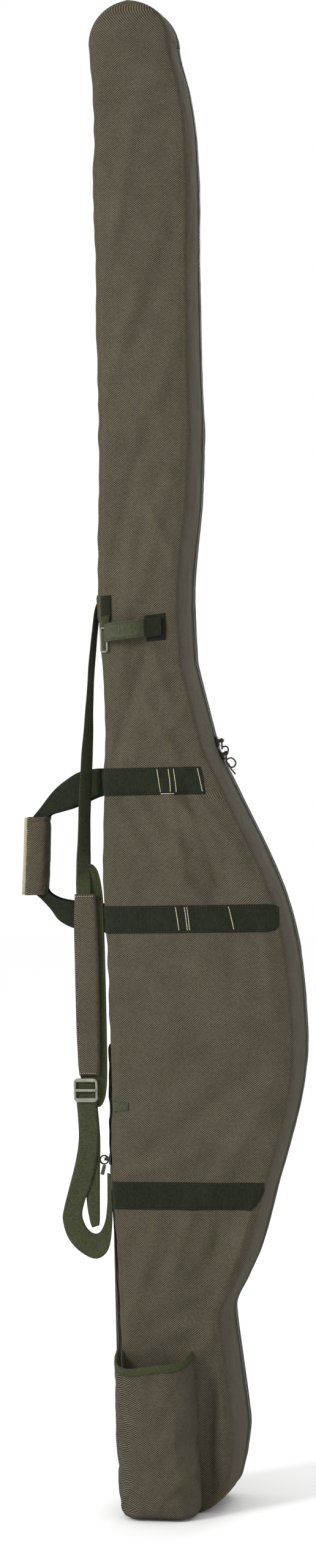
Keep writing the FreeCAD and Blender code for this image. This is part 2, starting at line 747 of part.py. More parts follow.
def slider_body(label, along, out, start, centre_y):
    """A slider plate with two ears and the puller pin between them. along and out are unit steps in
    the XZ plane; start is the plate's middle on the surface that it slides on."""
    half_long = size("slider_long") * 0.5
    half_wide = size("slider_wide") * 0.5
    thick = size("slider_thick")
    lift = size("bail_lift")
    pin = size("pin_radius")

    def point(forward, height):
        return (start[0] + forward * along[0] + height * out[0],
                start[1] + forward * along[1] + height * out[1])

    zero = as_size(0)
    side_view = [point(-half_long, zero), point(half_long, zero), point(half_long, thick * 0.7),
                 point(size("slider_long") * 0.2, thick), point(-half_long, thick)]
    body = pad_body(label, "front", side_view, centre_y - half_wide, centre_y + half_wide)
    root = thick * 0.5
    top = thick + lift + pin + 1
    ear = [point(as_size(-2.6), root), point(as_size(2.6), root), point(as_size(2.0), top),
           point(as_size(-2.0), top)]
    for near, far in ((-half_wide, -half_wide + 1.6), (half_wide - 1.6, half_wide)):
        add_pad(body, ear, centre_y + near, centre_y + far)
    centre = point(zero, thick + lift)
    bar = half_wide - 0.5
    add_pad(body, circle(centre[0], centre[1], pin, 12), centre_y - bar, centre_y + bar)
    return centre


def circle(across, up, radius, sides):
    """The corners of a regular polygon round a centre."""
    turns = [2 * math.pi * i / sides for i in range(sides)]
    return [(across + radius * math.cos(turn), up + radius * math.sin(turn)) for turn in turns]


def add_pad(body, corners, low, high):
    pad = body.newObject("PartDesign::Pad", body.Name + "_more")
    pad.Profile = body_sketch(body, "front", corners, high)
    bind(pad, "Length", high - low)
    body.Tip = pad


def puller(label, pin, centre_y):
    """A puller plate hanging straight down from its pin, with the pin's hole in its head."""
    across, up = pin
    half = size("puller_thick") * 0.5
    head = size("puller_hole") + 1.4
    long = size("puller_long")
    half_wide = size("puller_wide") * 0.5
    outline = [(across + head * math.cos(math.radians(a)), up + head * math.sin(math.radians(a)))
               for a in range(-60, 241, 30)]
    outline += [(across - half, up - head - 1), (across - half, up - long), (across + half, up - long),
                (across + half, up - head - 1)]
    body = pad_body(label, "front", outline, centre_y - half_wide, centre_y + half_wide)
    pocket_through(body, "front", circle(across, up, size("puller_hole"), 12))
    eye = [(centre_y - 1.8, up - long + 1), (centre_y + 1.8, up - long + 1),
           (centre_y + 1.8, up - long + 5.4), (centre_y - 1.8, up - long + 5.4)]
    pocket_through(body, "side", eye)


def make_sliders():
    zip_y, _ = depth_line(ZIP, 0)
    clear = size("teeth_skin") + size("slider_lift")
    upper_run = run_frame("slope_mid_x", "slope_mid_z", "neck_x", "neck_low_z")
    lower_run = run_frame("slope_low_x", "slope_low_z", "slope_mid_x", "slope_mid_z")
    runs = (("upper", size("upper_slider_step"), upper_run),
            ("lower", -size("lower_slider_step"), lower_run))
    for name, step, (along, out) in runs:
        start = (size("slope_mid_x") + step * along[0] + clear * out[0],
                 size("slope_mid_z") + step * along[1] + clear * out[1])
        pin = slider_body(f"{name}_slider", along, out, start, zip_y)
        print(name, "pin", round(pin[0].value, 3), round(pin[1].value, 3), "y", round(zip_y.value, 3))
        puller(f"{name}_puller", pin, zip_y)


# ---------------------------------------------------------------- side pocket

def make_side_pocket():
    """A flat zipped pocket on the spine's left face, open along its front edge behind the zip."""
    near = size("side_front_y")
    far = size("side_back_y")
    low = size("side_low_z")
    high = size("side_high_z")
    reach = size("side_reach")
    skin = size("side_skin")
    pocket = pad_body("side_pocket", "plan",
                      [(0, far), (-reach + 2, far), (-reach, far - 3), (-reach, near), (0, near)], low, high)
    hollow = body_sketch(pocket, "plan",
                         [(-skin, far - skin), (-reach + skin, far - skin), (-reach + skin, near - 2),
                          (-skin, near - 2)], low + skin)
    cut = pocket.newObject("PartDesign::Pocket", "side_pocket_hollow")
    cut.Profile = hollow
    cut.Reversed = True
    bind(cut, "Length", high - low - skin * 2)
    pocket.Tip = cut
    chain = [(-reach, near - 2.4), (-reach + skin, near - 2.4), (-reach + skin, near), (-reach, near)]
    pad_body("side_zip_chain", "plan", chain, low + 4, high - 4)
    start = (-reach - 0.4, size("side_slider_z"))
    pin = slider_body("side_slider", (0.0, 1.0), (-1.0, 0.0), start, near)
    print("side pin", round(pin[0].value, 3), round(pin[1].value, 3), "y", near.value)
    make_side_ring(pin, near)


def make_side_ring(pin, centre_y):
    """The stiff cord ring on the side slider's pin, held out sideways, and the tab under it."""
    across = pin[0] - 3.2
    up = pin[1] - 1.4
    outer = size("side_ring")
    inner = outer - 2.1
    rim = circle(across, up, outer, 20)
    ring = pad_body("side_pull_ring", "front", rim, centre_y - 1.1, centre_y + 1.1)
    pocket_through(ring, "front", circle(across, up, inner, 20))
    top = up - outer - 0.4
    pad_body("side_pull_tab", "front",
             [(across - 2, top), (across + 2.5, top), (across - 1, top - 14), (across - 6, top - 13)],
             centre_y - 1.6, centre_y + 1.6)


# ---------------------------------------------------------------- puller cords

# Cord routes, from the puller's eye round a loop, and on to a loose tail on the upper one (X, Y, Z).
UPPER_CORD = ((147.8, 35, 1059), (152, 33, 1061), (157, 30, 1059.5), (158.5, 28, 1054), (155.5, 27, 1049),
              (154.5, 25.5, 1043), (157.5, 24.5, 1035.5), (162.5, 23.5, 1028), (168.5, 23, 1021))
LOWER_CORD = ((153.8, 35, 1041), (158, 36.5, 1044.5), (163, 38.5, 1043), (166.5, 39.5, 1038),
              (165.5, 39.5, 1032.5), (161, 38.5, 1030), (157.5, 37, 1032), (156.5, 36, 1036.5))


def cord(label, route):
    """A cord as straight runs joined by tangent arcs, each as large as its two runs allow."""
    points = [Vector(*point) for point in route]
    edges = []
    last = points[0]
    radii = []
    for before, corner, after in zip(points, points[1:], points[2:]):
        run_in = corner - before
        run_out = after - corner
        turn = run_in.getAngle(run_out)
        trim = 0.45 * min(run_in.Length, run_out.Length)
        radii.append(trim / math.tan(turn / 2))
        start = corner - run_in.normalize() * trim
        end = corner + run_out.normalize() * trim
        inward = (start + end) * 0.5 - corner
        reach = math.hypot(trim, radii[-1]) - radii[-1]
        middle = corner + inward.normalize() * reach
        edges.append(Part.LineSegment(last, start).toShape())
        edges.append(Part.Arc(start, middle, end).toShape())
        last = end
    edges.append(Part.LineSegment(last, points[-1]).toShape())
    path = Part.Wire(edges)
    radius = VALUES["cord_radius"]
    ring = Part.Wire([Part.makeCircle(radius, points[0], edges[0].tangentAt(edges[0].FirstParameter))])
    thing = document.addObject("Part::Feature", label)
    thing.Shape = path.makePipeShell([ring], True, False)
    expected = math.pi * radius ** 2 * path.Length
    print(label, "length", round(path.Length, 1), "radii", [round(r, 1) for r in radii],
          "volume ratio", round(thing.Shape.Volume / expected, 3))
    keep(thing, label)


# ---------------------------------------------------------------- place, check and write

def place_sub_parts():
    """Moves every sub-part so that the frame's origin is under the middle of the object."""
    shift = Vector(-VALUES["origin_x"], -VALUES["origin_y"], 0)
    for thing in sub_parts:
        if thing.Label.endswith("handle_strap"):
            continue
        thing.Placement.Base = thing.Placement.Base + shift
    document.recompute()


def check_document():
    for thing in document.Objects:
        if "Invalid" in thing.State or "Error" in thing.State:
            raise RuntimeError(f"{thing.Label} failed: {thing.State}")
    for thing in sub_parts:
        if thing.Shape.isNull() or not thing.Shape.isValid() or not thing.Shape.Solids:
            raise RuntimeError(f"{thing.Label} has no valid solid")


def write_sub_parts():
    os.makedirs("parts", exist_ok=True)
    box = FreeCAD.BoundBox()
    for thing in sub_parts:
        thing.Shape.exportStep(f"parts/{thing.Label}.step")
        box.add(thing.Shape.BoundBox)
    print(len(sub_parts), "sub-parts", box)


def main():
    make_sheet()
    make_panels()
    make_gussets()
    make_zip()
    make_spine()
    make_base()
    make_bands()
    make_anchors()
    make_ties()
    make_butt_pocket()
    make_rod_strap()
    make_handle()
    make_strap_web()
    make_pad()
    make_ladder_lock()
    make_lower_web()
    make_sliders()
    make_side_pocket()
    document.recompute()
    cord("upper_puller_cord", UPPER_CORD)
    cord("lower_puller_cord", LOWER_CORD)
    place_sub_parts()
    check_document()
    write_sub_parts()


main()
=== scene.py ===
import math
import bpy
import numpy as np
from mathutils import Matrix, Vector, noise


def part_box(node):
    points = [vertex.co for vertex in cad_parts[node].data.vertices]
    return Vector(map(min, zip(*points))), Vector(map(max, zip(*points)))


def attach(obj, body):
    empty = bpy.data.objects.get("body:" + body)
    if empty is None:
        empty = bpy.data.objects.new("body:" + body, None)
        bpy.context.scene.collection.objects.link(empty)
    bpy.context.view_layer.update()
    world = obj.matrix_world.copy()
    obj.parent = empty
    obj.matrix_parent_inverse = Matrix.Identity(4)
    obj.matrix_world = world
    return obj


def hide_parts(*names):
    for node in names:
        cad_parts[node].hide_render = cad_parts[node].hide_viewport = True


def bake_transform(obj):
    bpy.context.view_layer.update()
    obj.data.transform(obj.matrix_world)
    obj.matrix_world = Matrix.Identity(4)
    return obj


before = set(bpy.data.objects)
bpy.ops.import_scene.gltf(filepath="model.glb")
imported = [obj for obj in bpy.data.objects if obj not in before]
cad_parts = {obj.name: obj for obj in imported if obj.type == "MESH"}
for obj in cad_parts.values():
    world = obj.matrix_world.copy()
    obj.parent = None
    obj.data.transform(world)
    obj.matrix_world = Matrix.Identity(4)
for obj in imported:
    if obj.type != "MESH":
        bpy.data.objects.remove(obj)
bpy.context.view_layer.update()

# Everything below is drawn in millimetres from the spine's left face (x), the middle of the depth (y)
# and the floor (z), and moved to the frame by at().
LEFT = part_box("spine_panel")[0].x
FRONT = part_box("front_panel")[0].y
FRONT_Y = -65.0
DEPTH = 130.0
TAPER = 50.0
TAPER_START = 1150.0
TIP = 2100.0
ZIP_SHARE = 0.77
CORNER = 7.0
ROW_STEP = 4.2


def at(x, y, z):
    """A point in millimetres of the drawing, as a point of the frame in metres."""
    return Vector((LEFT + x * 0.001, FRONT + (y - FRONT_Y) * 0.001, z * 0.001))


# ---------------------------------------------------------------- camera, light and floor

CAMERA_AWAY = 4.5
HALF_VIEW = 1.088


def make_camera():
    turn = math.radians(12)
    target = at(72.5, -49.6, 1010)
    data = bpy.data.cameras.new("camera")
    data.sensor_fit = "VERTICAL"
    data.sensor_height = 36
    data.sensor_width = 36
    data.lens = 36 / (2 * HALF_VIEW / CAMERA_AWAY)
    data.clip_end = 60
    camera = bpy.data.objects.new("camera", data)
    bpy.context.collection.objects.link(camera)
    camera.location = target + Vector((CAMERA_AWAY * math.sin(turn), -CAMERA_AWAY * math.cos(turn), 0.04))
    look = (target - camera.location).to_track_quat("-Z", "Y")
    roll = Matrix.Rotation(math.radians(-1.3), 4, "Z").to_quaternion()
    camera.rotation_mode = "QUATERNION"
    camera.rotation_quaternion = look @ roll
    bpy.context.scene.camera = camera


def make_light(name, place, size, power, target):
    data = bpy.data.lights.new(name, "AREA")
    data.shape = "RECTANGLE"
    data.size, data.size_y = size
    data.energy = power
    light = bpy.data.objects.new(name, data)
    bpy.context.collection.objects.link(light)
    light.location = place
    light.rotation_mode = "QUATERNION"
    light.rotation_quaternion = (Vector(target) - Vector(place)).to_track_quat("-Z", "Y")


def make_studio():
    """White surroundings, three soft lights, and a pale floor that fades to white. Its colour is painted
    darker near the object, as painted shade that evens out the lamps' brighter light there.
    """
    scene = bpy.context.scene
    scene.view_settings.view_transform = "Standard"
    world = bpy.data.worlds.new("studio")
    scene.world = world
    world.use_nodes = True
    background = world.node_tree.nodes["Background"]
    background.inputs["Color"].default_value = (1, 1, 1, 1)
    background.inputs["Strength"].default_value = 1.0
    make_light("key", (-2.9, -3.3, 2.6), (1.4, 1.6), 190, (0, 0, 1.0))
    make_light("fill", (2.0, -4.4, 1.8), (1.6, 2.2), 22, (0, 0, 1.0))
    make_light("rear", (0.5, 4.0, 3.0), (2.0, 2.0), 75, (0, 0, 1.0))
    mesh = bpy.data.meshes.new("floor")
    reach = 14.0
    mesh.from_pydata([(-reach, -reach, 0), (reach, -reach, 0), (reach, reach, 0), (-reach, reach, 0)],
                     [], [(0, 1, 2, 3)])
    floor = bpy.data.objects.new("floor", mesh)
    bpy.context.collection.objects.link(floor)
    floor.location.z = -0.0006
    mat = bpy.data.materials.new("floor_white")
    mat.use_nodes = True
    nodes, links = mat.node_tree.nodes, mat.node_tree.links
    bsdf = nodes["Principled BSDF"]
    place = nodes.new("ShaderNodeTexCoord")
    away = nodes.new("ShaderNodeVectorMath")
    away.operation = "LENGTH"
    links.new(place.outputs["Object"], away.inputs[0])
    # Painted shade: the floor's colour is darker near the object (0.80) than far off (0.985), against the
    # lamps' brighter light near it.
    fade = nodes.new("ShaderNodeMapRange")
    fade.interpolation_type = "SMOOTHSTEP"
    for name, number in (("From Min", 0.8), ("From Max", 6.5), ("To Min", 0.80), ("To Max", 0.985)):
        fade.inputs[name].default_value = number
    links.new(away.outputs["Value"], fade.inputs["Value"])
    links.new(fade.outputs[0], bsdf.inputs["Base Color"])
    bsdf.inputs["Roughness"].default_value = 0.9
    bsdf.inputs["Specular IOR Level"].default_value = 0.1
    mesh.materials.append(mat)


# ---------------------------------------------------------------- materials

def rgb(red, green, blue):
    """sRGB 0 to 255 as a linear colour."""
    parts = []
    for part in (red, green, blue):
        part /= 255
        parts.append(part / 12.92 if part <= 0.04045 else ((part + 0.055) / 1.055) ** 2.4)
    return (*parts, 1.0)


class Look:
    """A procedural material under construction."""

    def __init__(self, name, rough=0.8, specular=0.3, sheen=0.0, metallic=0.0):
        self.material = bpy.data.materials.new(name)
        self.material.use_nodes = True
        self.tree = self.material.node_tree
        self.bsdf = self.tree.nodes["Principled BSDF"]
        self.bsdf.inputs["Roughness"].default_value = rough
        self.bsdf.inputs["Specular IOR Level"].default_value = specular
        self.bsdf.inputs["Sheen Weight"].default_value = sheen
        self.bsdf.inputs["Sheen Roughness"].default_value = 0.5
        self.bsdf.inputs["Metallic"].default_value = metallic
        self.heights = []

    def feed(self, socket, value):
        if hasattr(value, "is_output"):
            self.tree.links.new(value, socket)
        else:
            socket.default_value = value

    def math(self, operation, *values):
        node = self.tree.nodes.new("ShaderNodeMath")
        node.operation = operation
        for socket, value in zip(node.inputs, values):
            self.feed(socket, value)
        return node.outputs[0]

    def place(self, uv=None):
        """Object coordinates as three numbers, or a UV map's two, in metres."""
        if uv:
            source = self.tree.nodes.new("ShaderNodeUVMap")
            source.uv_map = uv
            point = source.outputs["UV"]
        else:
            point = self.tree.nodes.new("ShaderNodeTexCoord").outputs["Object"]
        split = self.tree.nodes.new("ShaderNodeSeparateXYZ")
        self.feed(split.inputs[0], point)
        return point, split.outputs

    def join(self, x, y, z=0.0):
        node = self.tree.nodes.new("ShaderNodeCombineXYZ")
        for socket, value in zip(node.inputs, (x, y, z)):
            self.feed(socket, value)
        return node.outputs[0]

    def noise(self, point, scale, detail=2.0, rough=0.5):
        node = self.tree.nodes.new("ShaderNodeTexNoise")
        self.feed(node.inputs["Vector"], point)
        node.inputs["Scale"].default_value = scale
        node.inputs["Detail"].default_value = detail
        node.inputs["Roughness"].default_value = rough
        return node.outputs[0]

    def white(self, point):
        node = self.tree.nodes.new("ShaderNodeTexWhiteNoise")
        node.noise_dimensions = "2D"
        self.feed(node.inputs["Vector"], point)
        return node.outputs["Value"]

    def ramp(self, value, low, high, out_low=0.0, out_high=1.0):
        node = self.tree.nodes.new("ShaderNodeMapRange")
        node.clamp = True
        for name, number in (("Value", value), ("From Min", low), ("From Max", high),
                             ("To Min", out_low), ("To Max", out_high)):
            self.feed(node.inputs[name], number)
        return node.outputs[0]

    def mix(self, share, first, second, blend="MIX"):
        node = self.tree.nodes.new("ShaderNodeMix")
        node.data_type = "RGBA"
        node.blend_type = blend
        self.feed(node.inputs[0], share)
        self.feed(node.inputs[6], first)
        self.feed(node.inputs[7], second)
        return node.outputs[2]

    def colour(self, value):
        self.feed(self.bsdf.inputs["Base Color"], value)

    def rough(self, value):
        self.feed(self.bsdf.inputs["Roughness"], value)

    def bump(self, height, distance, strength=1.0):
        node = self.tree.nodes.new("ShaderNodeBump")
        node.inputs["Strength"].default_value = strength
        node.inputs["Distance"].default_value = distance
        self.feed(node.inputs["Height"], height)
        if self.heights:
            self.feed(node.inputs["Normal"], self.heights[-1])
        self.heights.append(node.outputs[0])
        self.feed(self.bsdf.inputs["Normal"], node.outputs[0])


def woven(name, dark, bright, tint, period=0.0037, row=0.00132, rough=0.9, sheen=0.02, depth=0.0003,
          uv=None, patch=0.3):
    """A plain weave of staggered floats: dark ground, bright floats, and patches of a second tint."""
    look = Look(name, rough, 0.07, sheen)
    point, (x, y, z) = look.place(uv)
    across = look.math("ADD", x, y) if uv is None else x
    along = z if uv is None else y
    half_turns = look.math("DIVIDE", across, period * 0.5)
    rows = look.math("DIVIDE", along, row)
    cell = look.white(look.join(look.math("ROUND", half_turns), look.math("ROUND", rows)))
    height = look.math("MULTIPLY", look.math("COSINE", look.math("MULTIPLY", half_turns, math.pi)),
                       look.math("COSINE", look.math("MULTIPLY", rows, math.pi)))
    brightness = look.math("ADD", height, look.math("MULTIPLY", look.math("SUBTRACT", cell, 0.5), 0.3))
    share = look.ramp(brightness, -0.7, 0.7)
    base = look.mix(share, dark, bright)
    patches = look.ramp(look.noise(point, 22.0, 4.0, 0.6), 0.38, 0.66, 0.0, patch)
    base = look.mix(patches, base, look.mix(0.5, base, tint, "MULTIPLY"))
    wear = look.ramp(look.noise(point, 6.0, 3.0), 0.3, 0.7, 0.93, 1.07)
    base = look.mix(1.0, base, look.join(wear, wear, wear), "MULTIPLY")
    look.colour(base)
    look.bump(height, depth, 0.7)
    look.bump(look.noise(point, 160.0, 3.0), 0.0006, 0.35)
    return look.material


def webbing(name, colour, edge, rib=0.0016, twill=0.0032, uv="lay", depth=0.0005, sheen=0.03):
    """Woven strap: ribs across it, floats along it, and patches of paler and darker tone."""
    look = Look(name, 0.82, 0.16, sheen)
    point, (x, y, z) = look.place(uv)
    across = x if uv else look.math("ADD", x, y)
    along = y if uv else z
    ribs = look.math("SINE", look.math("MULTIPLY", along, 2 * math.pi / rib))
    floats = look.math("SINE", look.math("ADD", look.math("MULTIPLY", across, 2 * math.pi / twill),
                                         look.math("MULTIPLY", along, math.pi / rib)))
    height = look.math("ADD", look.math("MULTIPLY", ribs, 0.5), look.math("MULTIPLY", floats, 0.35))
    thread = look.white(look.join(look.math("FLOOR", look.math("DIVIDE", across, twill)),
                                  look.math("FLOOR", look.math("DIVIDE", along, rib))))
    share = look.ramp(look.math("ADD", height, look.math("MULTIPLY", thread, 0.8)), -0.5, 1.3)
    base = look.mix(share, colour, edge)
    fade = look.ramp(look.noise(point, 35.0, 3.0), 0.35, 0.7, 0.88, 1.1)
    base = look.mix(1.0, base, look.join(fade, fade, fade), "MULTIPLY")
    look.colour(base)
    look.bump(height, depth, 0.8)
    look.bump(look.noise(point, 420.0, 2.0), 0.0004, 0.3)
    return look.material


def plastic(name, colour, worn, rough=0.42):
    look = Look(name, rough, 0.45)
    point, _ = look.place()
    look.colour(look.mix(look.ramp(look.noise(point, 90.0, 4.0), 0.4, 0.75), colour, worn))
    look.rough(look.ramp(look.noise(point, 260.0, 2.0), 0.3, 0.7, rough - 0.07, rough + 0.12))
    look.bump(look.noise(point, 900.0, 2.0), 0.00015, 0.4)
    return look.material


def metal(name, colour, worn):
    look = Look(name, 0.38, 0.5, 0.0, 1.0)
    point, _ = look.place()
    scuffs = look.ramp(look.noise(point, 420.0, 5.0, 0.7), 0.5, 0.72)
    look.colour(look.mix(scuffs, colour, worn))
    look.rough(look.ramp(look.noise(point, 700.0, 3.0), 0.3, 0.7, 0.28, 0.5))
    look.bump(look.noise(point, 1500.0, 2.0), 0.00008, 0.5)
    return look.material


def make_materials():
    return {
        "fabric": woven("case_weave", rgb(18, 16, 12), rgb(95, 89, 74), rgb(150, 142, 118)),
        "shell": woven("shell_weave", rgb(18, 16, 12), rgb(95, 89, 74), rgb(150, 142, 118), uv="lay"),
        "base": woven("base_weave", rgb(26, 25, 21), rgb(52, 50, 42), rgb(170, 165, 150), 0.0024, 0.0024),
        "lining": woven("lining_weave", rgb(44, 42, 37), rgb(72, 70, 61), rgb(180, 176, 165), 0.0011, 0.0011,
                        0.7, 0.1, 0.00012),
        "tape": woven("zip_tape_weave", rgb(36, 34, 27), rgb(68, 64, 52), rgb(180, 176, 165), 0.0012, 0.0009,
                      0.8, 0.02, 0.00015),
        "band": webbing("dark_webbing_weave", rgb(10, 13, 5), rgb(30, 35, 18)),
        "green": webbing("green_webbing_weave", rgb(42, 45, 32), rgb(76, 79, 58)),
        "carry": webbing("carry_webbing_weave", rgb(34, 38, 23), rgb(66, 70, 46), 0.0014, 0.0028),
        "coil": plastic("coil_grain", rgb(62, 58, 47), rgb(84, 80, 66), 0.5),
        "binding": webbing("binding_weave", rgb(34, 38, 20), rgb(64, 68, 42), 0.0011, 0.0022, "lay", 0.0003),
        "pad_back": webbing("pad_back_weave", rgb(30, 34, 18), rgb(56, 60, 36), 0.0011, 0.0022, None, 0.0003),
        "hook": webbing("hook_weave", rgb(12, 12, 11), rgb(30, 29, 26), 0.0015, 0.0015, "lay", 0.0009),
        "cream": webbing("cream_weave", rgb(128, 123, 99), rgb(170, 164, 138), 0.0012, 0.0018, "lay", 0.0004),
        "plastic": plastic("grey_plastic_grain", rgb(104, 107, 90), rgb(124, 126, 109)),
        "teeth": plastic("zip_teeth_grain", rgb(34, 34, 30), rgb(58, 57, 50), 0.35),
        "metal": metal("zip_metal_wear", rgb(66, 64, 58), rgb(140, 136, 124)),
        "cord": webbing("cord_weave", rgb(40, 40, 34), rgb(80, 79, 68), 0.0009, 0.0009, None, 0.0003),
        "thread": plastic("thread_sheen", rgb(158, 153, 128), rgb(182, 176, 150), 0.55),
        "dark_thread": plastic("dark_thread_sheen", rgb(22, 24, 16), rgb(38, 40, 28), 0.6),
    }


MATS = make_materials()


# ---------------------------------------------------------------- mesh helpers

def new_piece(name, points, faces, look, body, nodes=(), uvs=None, smooth=True):
    """A mesh piece from points of the drawing, riding on a body and standing for CAD nodes."""
    mesh = bpy.data.meshes.new(name)
    mesh.from_pydata([at(*p) for p in points], [], faces)
    mesh.materials.append(MATS[look])
    if smooth:
        mesh.polygons.foreach_set("use_smooth", [True] * len(mesh.polygons))
    if uvs is not None:
        layer = mesh.uv_layers.new(name="lay")
        flat = np.array([uvs[loop.vertex_index] for loop in mesh.loops], dtype=np.float32)
        layer.data.foreach_set("uv", flat.ravel())
    mesh.update()
    piece = bpy.data.objects.new(name, mesh)
    bpy.context.collection.objects.link(piece)
    if body:
        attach(piece, body)
    if nodes:
        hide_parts(*nodes)
    return piece


def add_modifier(piece, kind, name, **settings):
    modifier = piece.modifiers.new(name, kind)
    for key, value in settings.items():
        setattr(modifier, key, value)
    return modifier


def thicken(piece, thick):
    """Gives a single sheet its thickness, inward, in millimetres."""
    return add_modifier(piece, "SOLIDIFY", "thickness", thickness=thick * 0.001, offset=-1.0,
                        use_even_offset=False)


def grid_faces(rows, columns, close_rows=False, close_columns=False, flip=False):
    faces = []
    for i in range(rows if close_rows else rows - 1):
        for j in range(columns if close_columns else columns - 1):
            a = i * columns + j
            b = i * columns + (j + 1) % columns
            c = ((i + 1) % rows) * columns + (j + 1) % columns
            d = ((i + 1) % rows) * columns + j
            faces.append((a, d, c, b) if flip else (a, b, c, d))
    return faces


def bead_faces(first, rings, sides, flip=False):
    """Faces of one small closed tube, whose rings of points start at first."""
    faces = []
    for ring in range(rings - 1):
        for k in range(sides):
            a, b = first + ring * sides + k, first + ring * sides + (k + 1) % sides
            faces.append((a, a + sides, b + sides, b) if flip else (a, b, b + sides, a + sides))
    start = tuple(range(first, first + sides))
    end = tuple(range(first + (rings - 1) * sides, first + rings * sides))
    return faces + ([start, end[::-1]] if flip else [start[::-1], end])


def run_along(points):
    """The length along a line of points, at each of its points."""
    steps = np.linalg.norm(np.diff(np.array(points, float), axis=0), axis=1)
    return np.concatenate([[0.0], np.cumsum(steps)])


def smooth_path(points, step):
    """Points along a Catmull-Rom curve through the given points."""
    return smooth_pairs([(p, p) for p in points], step)[:, 0]


def smooth_pairs(pairs, step):
    """Both edges of a strap as Catmull-Rom curves, sampled together so that they stay opposite."""
    pts = np.array(pairs, dtype=float)
    ends = np.concatenate([[2 * pts[0] - pts[1]], pts, [2 * pts[-1] - pts[-2]]])
    fine = []
    for i in range(1, len(ends) - 2):
        p0, p1, p2, p3 = ends[i - 1:i + 3]
        long = np.linalg.norm((p2 - p1).mean(axis=0))
        for t in np.linspace(0, 1, max(2, int(long / step)), endpoint=False):
            fine.append(0.5 * (2 * p1 + (p2 - p0) * t + (2 * p0 - 5 * p1 + 4 * p2 - p3) * t ** 2
                               + (3 * p1 - p0 - 3 * p2 + p3) * t ** 3))
    fine.append(pts[-1])
    return np.array(fine)


def strip(name, pairs, thick, look, body, nodes=(), step=4.0, columns=7, crown=0.0, seed=0.0, ripple=0.4):
    """A flat strap between two edge lines, given as pairs of opposite points, with rounded edges."""
    edges = smooth_pairs(pairs, step)
    count = len(edges)
    points, uvs = [], []
    run = 0.0
    for i, (a, b) in enumerate(edges):
        across = b - a
        width = np.linalg.norm(across)
        ahead = (edges[min(i + 1, count - 1)] - edges[max(i - 1, 0)]).sum(axis=0)
        normal = np.cross(across, ahead)
        normal /= np.linalg.norm(normal) or 1.0
        if i:
            run += np.linalg.norm((edges[i] - edges[i - 1]).mean(axis=0))
        for face in (1, -1):
            for j in range(columns):
                t = j / (columns - 1)
                edge = min(t, 1 - t) * width
                half = thick * 0.5 * min(1.0, 0.35 + edge / max(thick, 0.1) * 0.9)
                lift = crown * math.sin(math.pi * t)
                wave = ripple * noise.noise(Vector((run * 0.03, t * 1.7 + seed * 3.1, seed)))
                points.append(a + across * t + normal * (face * half + lift + wave))
                uvs.append((t * width * 0.001, run * 0.001))
    return new_piece(name, points, section_faces(count, columns), look, body, nodes, uvs)


def section_faces(count, columns):
    """Faces round a row of flat closed sections, and their end caps."""
    ring = columns * 2
    order = [loop_index(j, columns) for j in range(ring)]
    faces = []
    for i in range(count - 1):
        for j in range(ring):
            a, b = order[j], order[(j + 1) % ring]
            faces.append((i * ring + a, i * ring + b, (i + 1) * ring + b, (i + 1) * ring + a))
    faces.append(tuple(order)[::-1])
    faces.append(tuple((count - 1) * ring + j for j in order))
    return faces


def loop_index(j, columns):
    """Order round a strip's section: along its front face, and back along its rear face."""
    return j if j < columns else columns + (2 * columns - 1 - j)


def threads(name, stitches, look, body, radius=0.45, sides=6):
    """Stitches as small rounded threads: each is (start, end) lying on a surface."""
    points, faces = [], []
    for start, end in stitches:
        start, end = np.array(start, float), np.array(end, float)
        line = end - start
        long = np.linalg.norm(line)
        line /= long or 1.0
        side = np.cross(line, (0.0, 1.0, 0.0))
        if np.linalg.norm(side) < 1e-3:
            side = np.array((1.0, 0.0, 0.0))
        side /= np.linalg.norm(side)
        up = np.cross(side, line)
        first = len(points)
        for t, grow in ((0.0, 0.15), (0.12, 0.8), (0.5, 1.0), (0.88, 0.8), (1.0, 0.15)):
            centre = start + line * long * t
            for k in range(sides):
                turn = 2 * math.pi * k / sides
                points.append(centre + (side * math.cos(turn) + up * math.sin(turn)) * radius * grow)
        faces += bead_faces(first, 5, sides)
    return new_piece(name, points, faces, look, body)


def stitch_line(points, pitch=3.0, share=0.62):
    """Cuts a line of points into stitches with gaps between them."""
    pts = np.array(points, float)
    run = run_along(pts)
    stitches = []
    for k in range(int(run[-1] / pitch)):
        ends = [np.array([np.interp(s, run, pts[:, axis]) for axis in range(3)])
                for s in (k * pitch, (k + share) * pitch)]
        stitches.append(ends)
    return stitches


# ---------------------------------------------------------------- cloth simulation

def settle(points, faces, pins, pressure, slack, bend, frames=24):
    """Fabric with a little slack, held at its pins, swells under pressure until it rests.

    Takes and returns points in millimetres of the drawing."""
    start = np.array(points, float)
    mesh = bpy.data.meshes.new("settling")
    mesh.from_pydata([tuple(p * 0.001) for p in start], [], faces)
    piece = bpy.data.objects.new("settling", mesh)
    bpy.context.collection.objects.link(piece)
    piece.vertex_groups.new(name="pins").add(pins, 1.0, "REPLACE")
    cloth = add_modifier(piece, "CLOTH", "cloth")
    settings = cloth.settings
    settings.vertex_group_mass = "pins"
    settings.quality = 5
    settings.mass = 0.3
    settings.tension_stiffness = settings.compression_stiffness = 15.0
    settings.shear_stiffness = 5.0
    settings.bending_stiffness = bend
    settings.use_pressure = True
    settings.uniform_pressure_force = pressure
    settings.shrink_min = -slack
    settings.effector_weights.gravity = 0.0
    cloth.collision_settings.use_collision = False
    cloth.point_cache.frame_start = 1
    cloth.point_cache.frame_end = frames
    scene = bpy.context.scene
    for number in range(1, frames + 1):
        scene.frame_set(number)
    rested = piece.evaluated_get(bpy.context.evaluated_depsgraph_get()).data
    end = np.empty(len(start) * 3)
    rested.vertices.foreach_get("co", end)
    bpy.data.objects.remove(piece)
    bpy.data.meshes.remove(mesh)
    scene.frame_set(1)
    return end.reshape(-1, 3) * 1000.0


def capped(start, end, limit):
    """Points that moved from start to end, with no move longer than the limit."""
    move = np.array(end) - np.array(start)
    long = np.linalg.norm(move, axis=1, keepdims=True)
    return np.array(start) + move * np.minimum(1.0, limit / np.maximum(long, 1e-6))
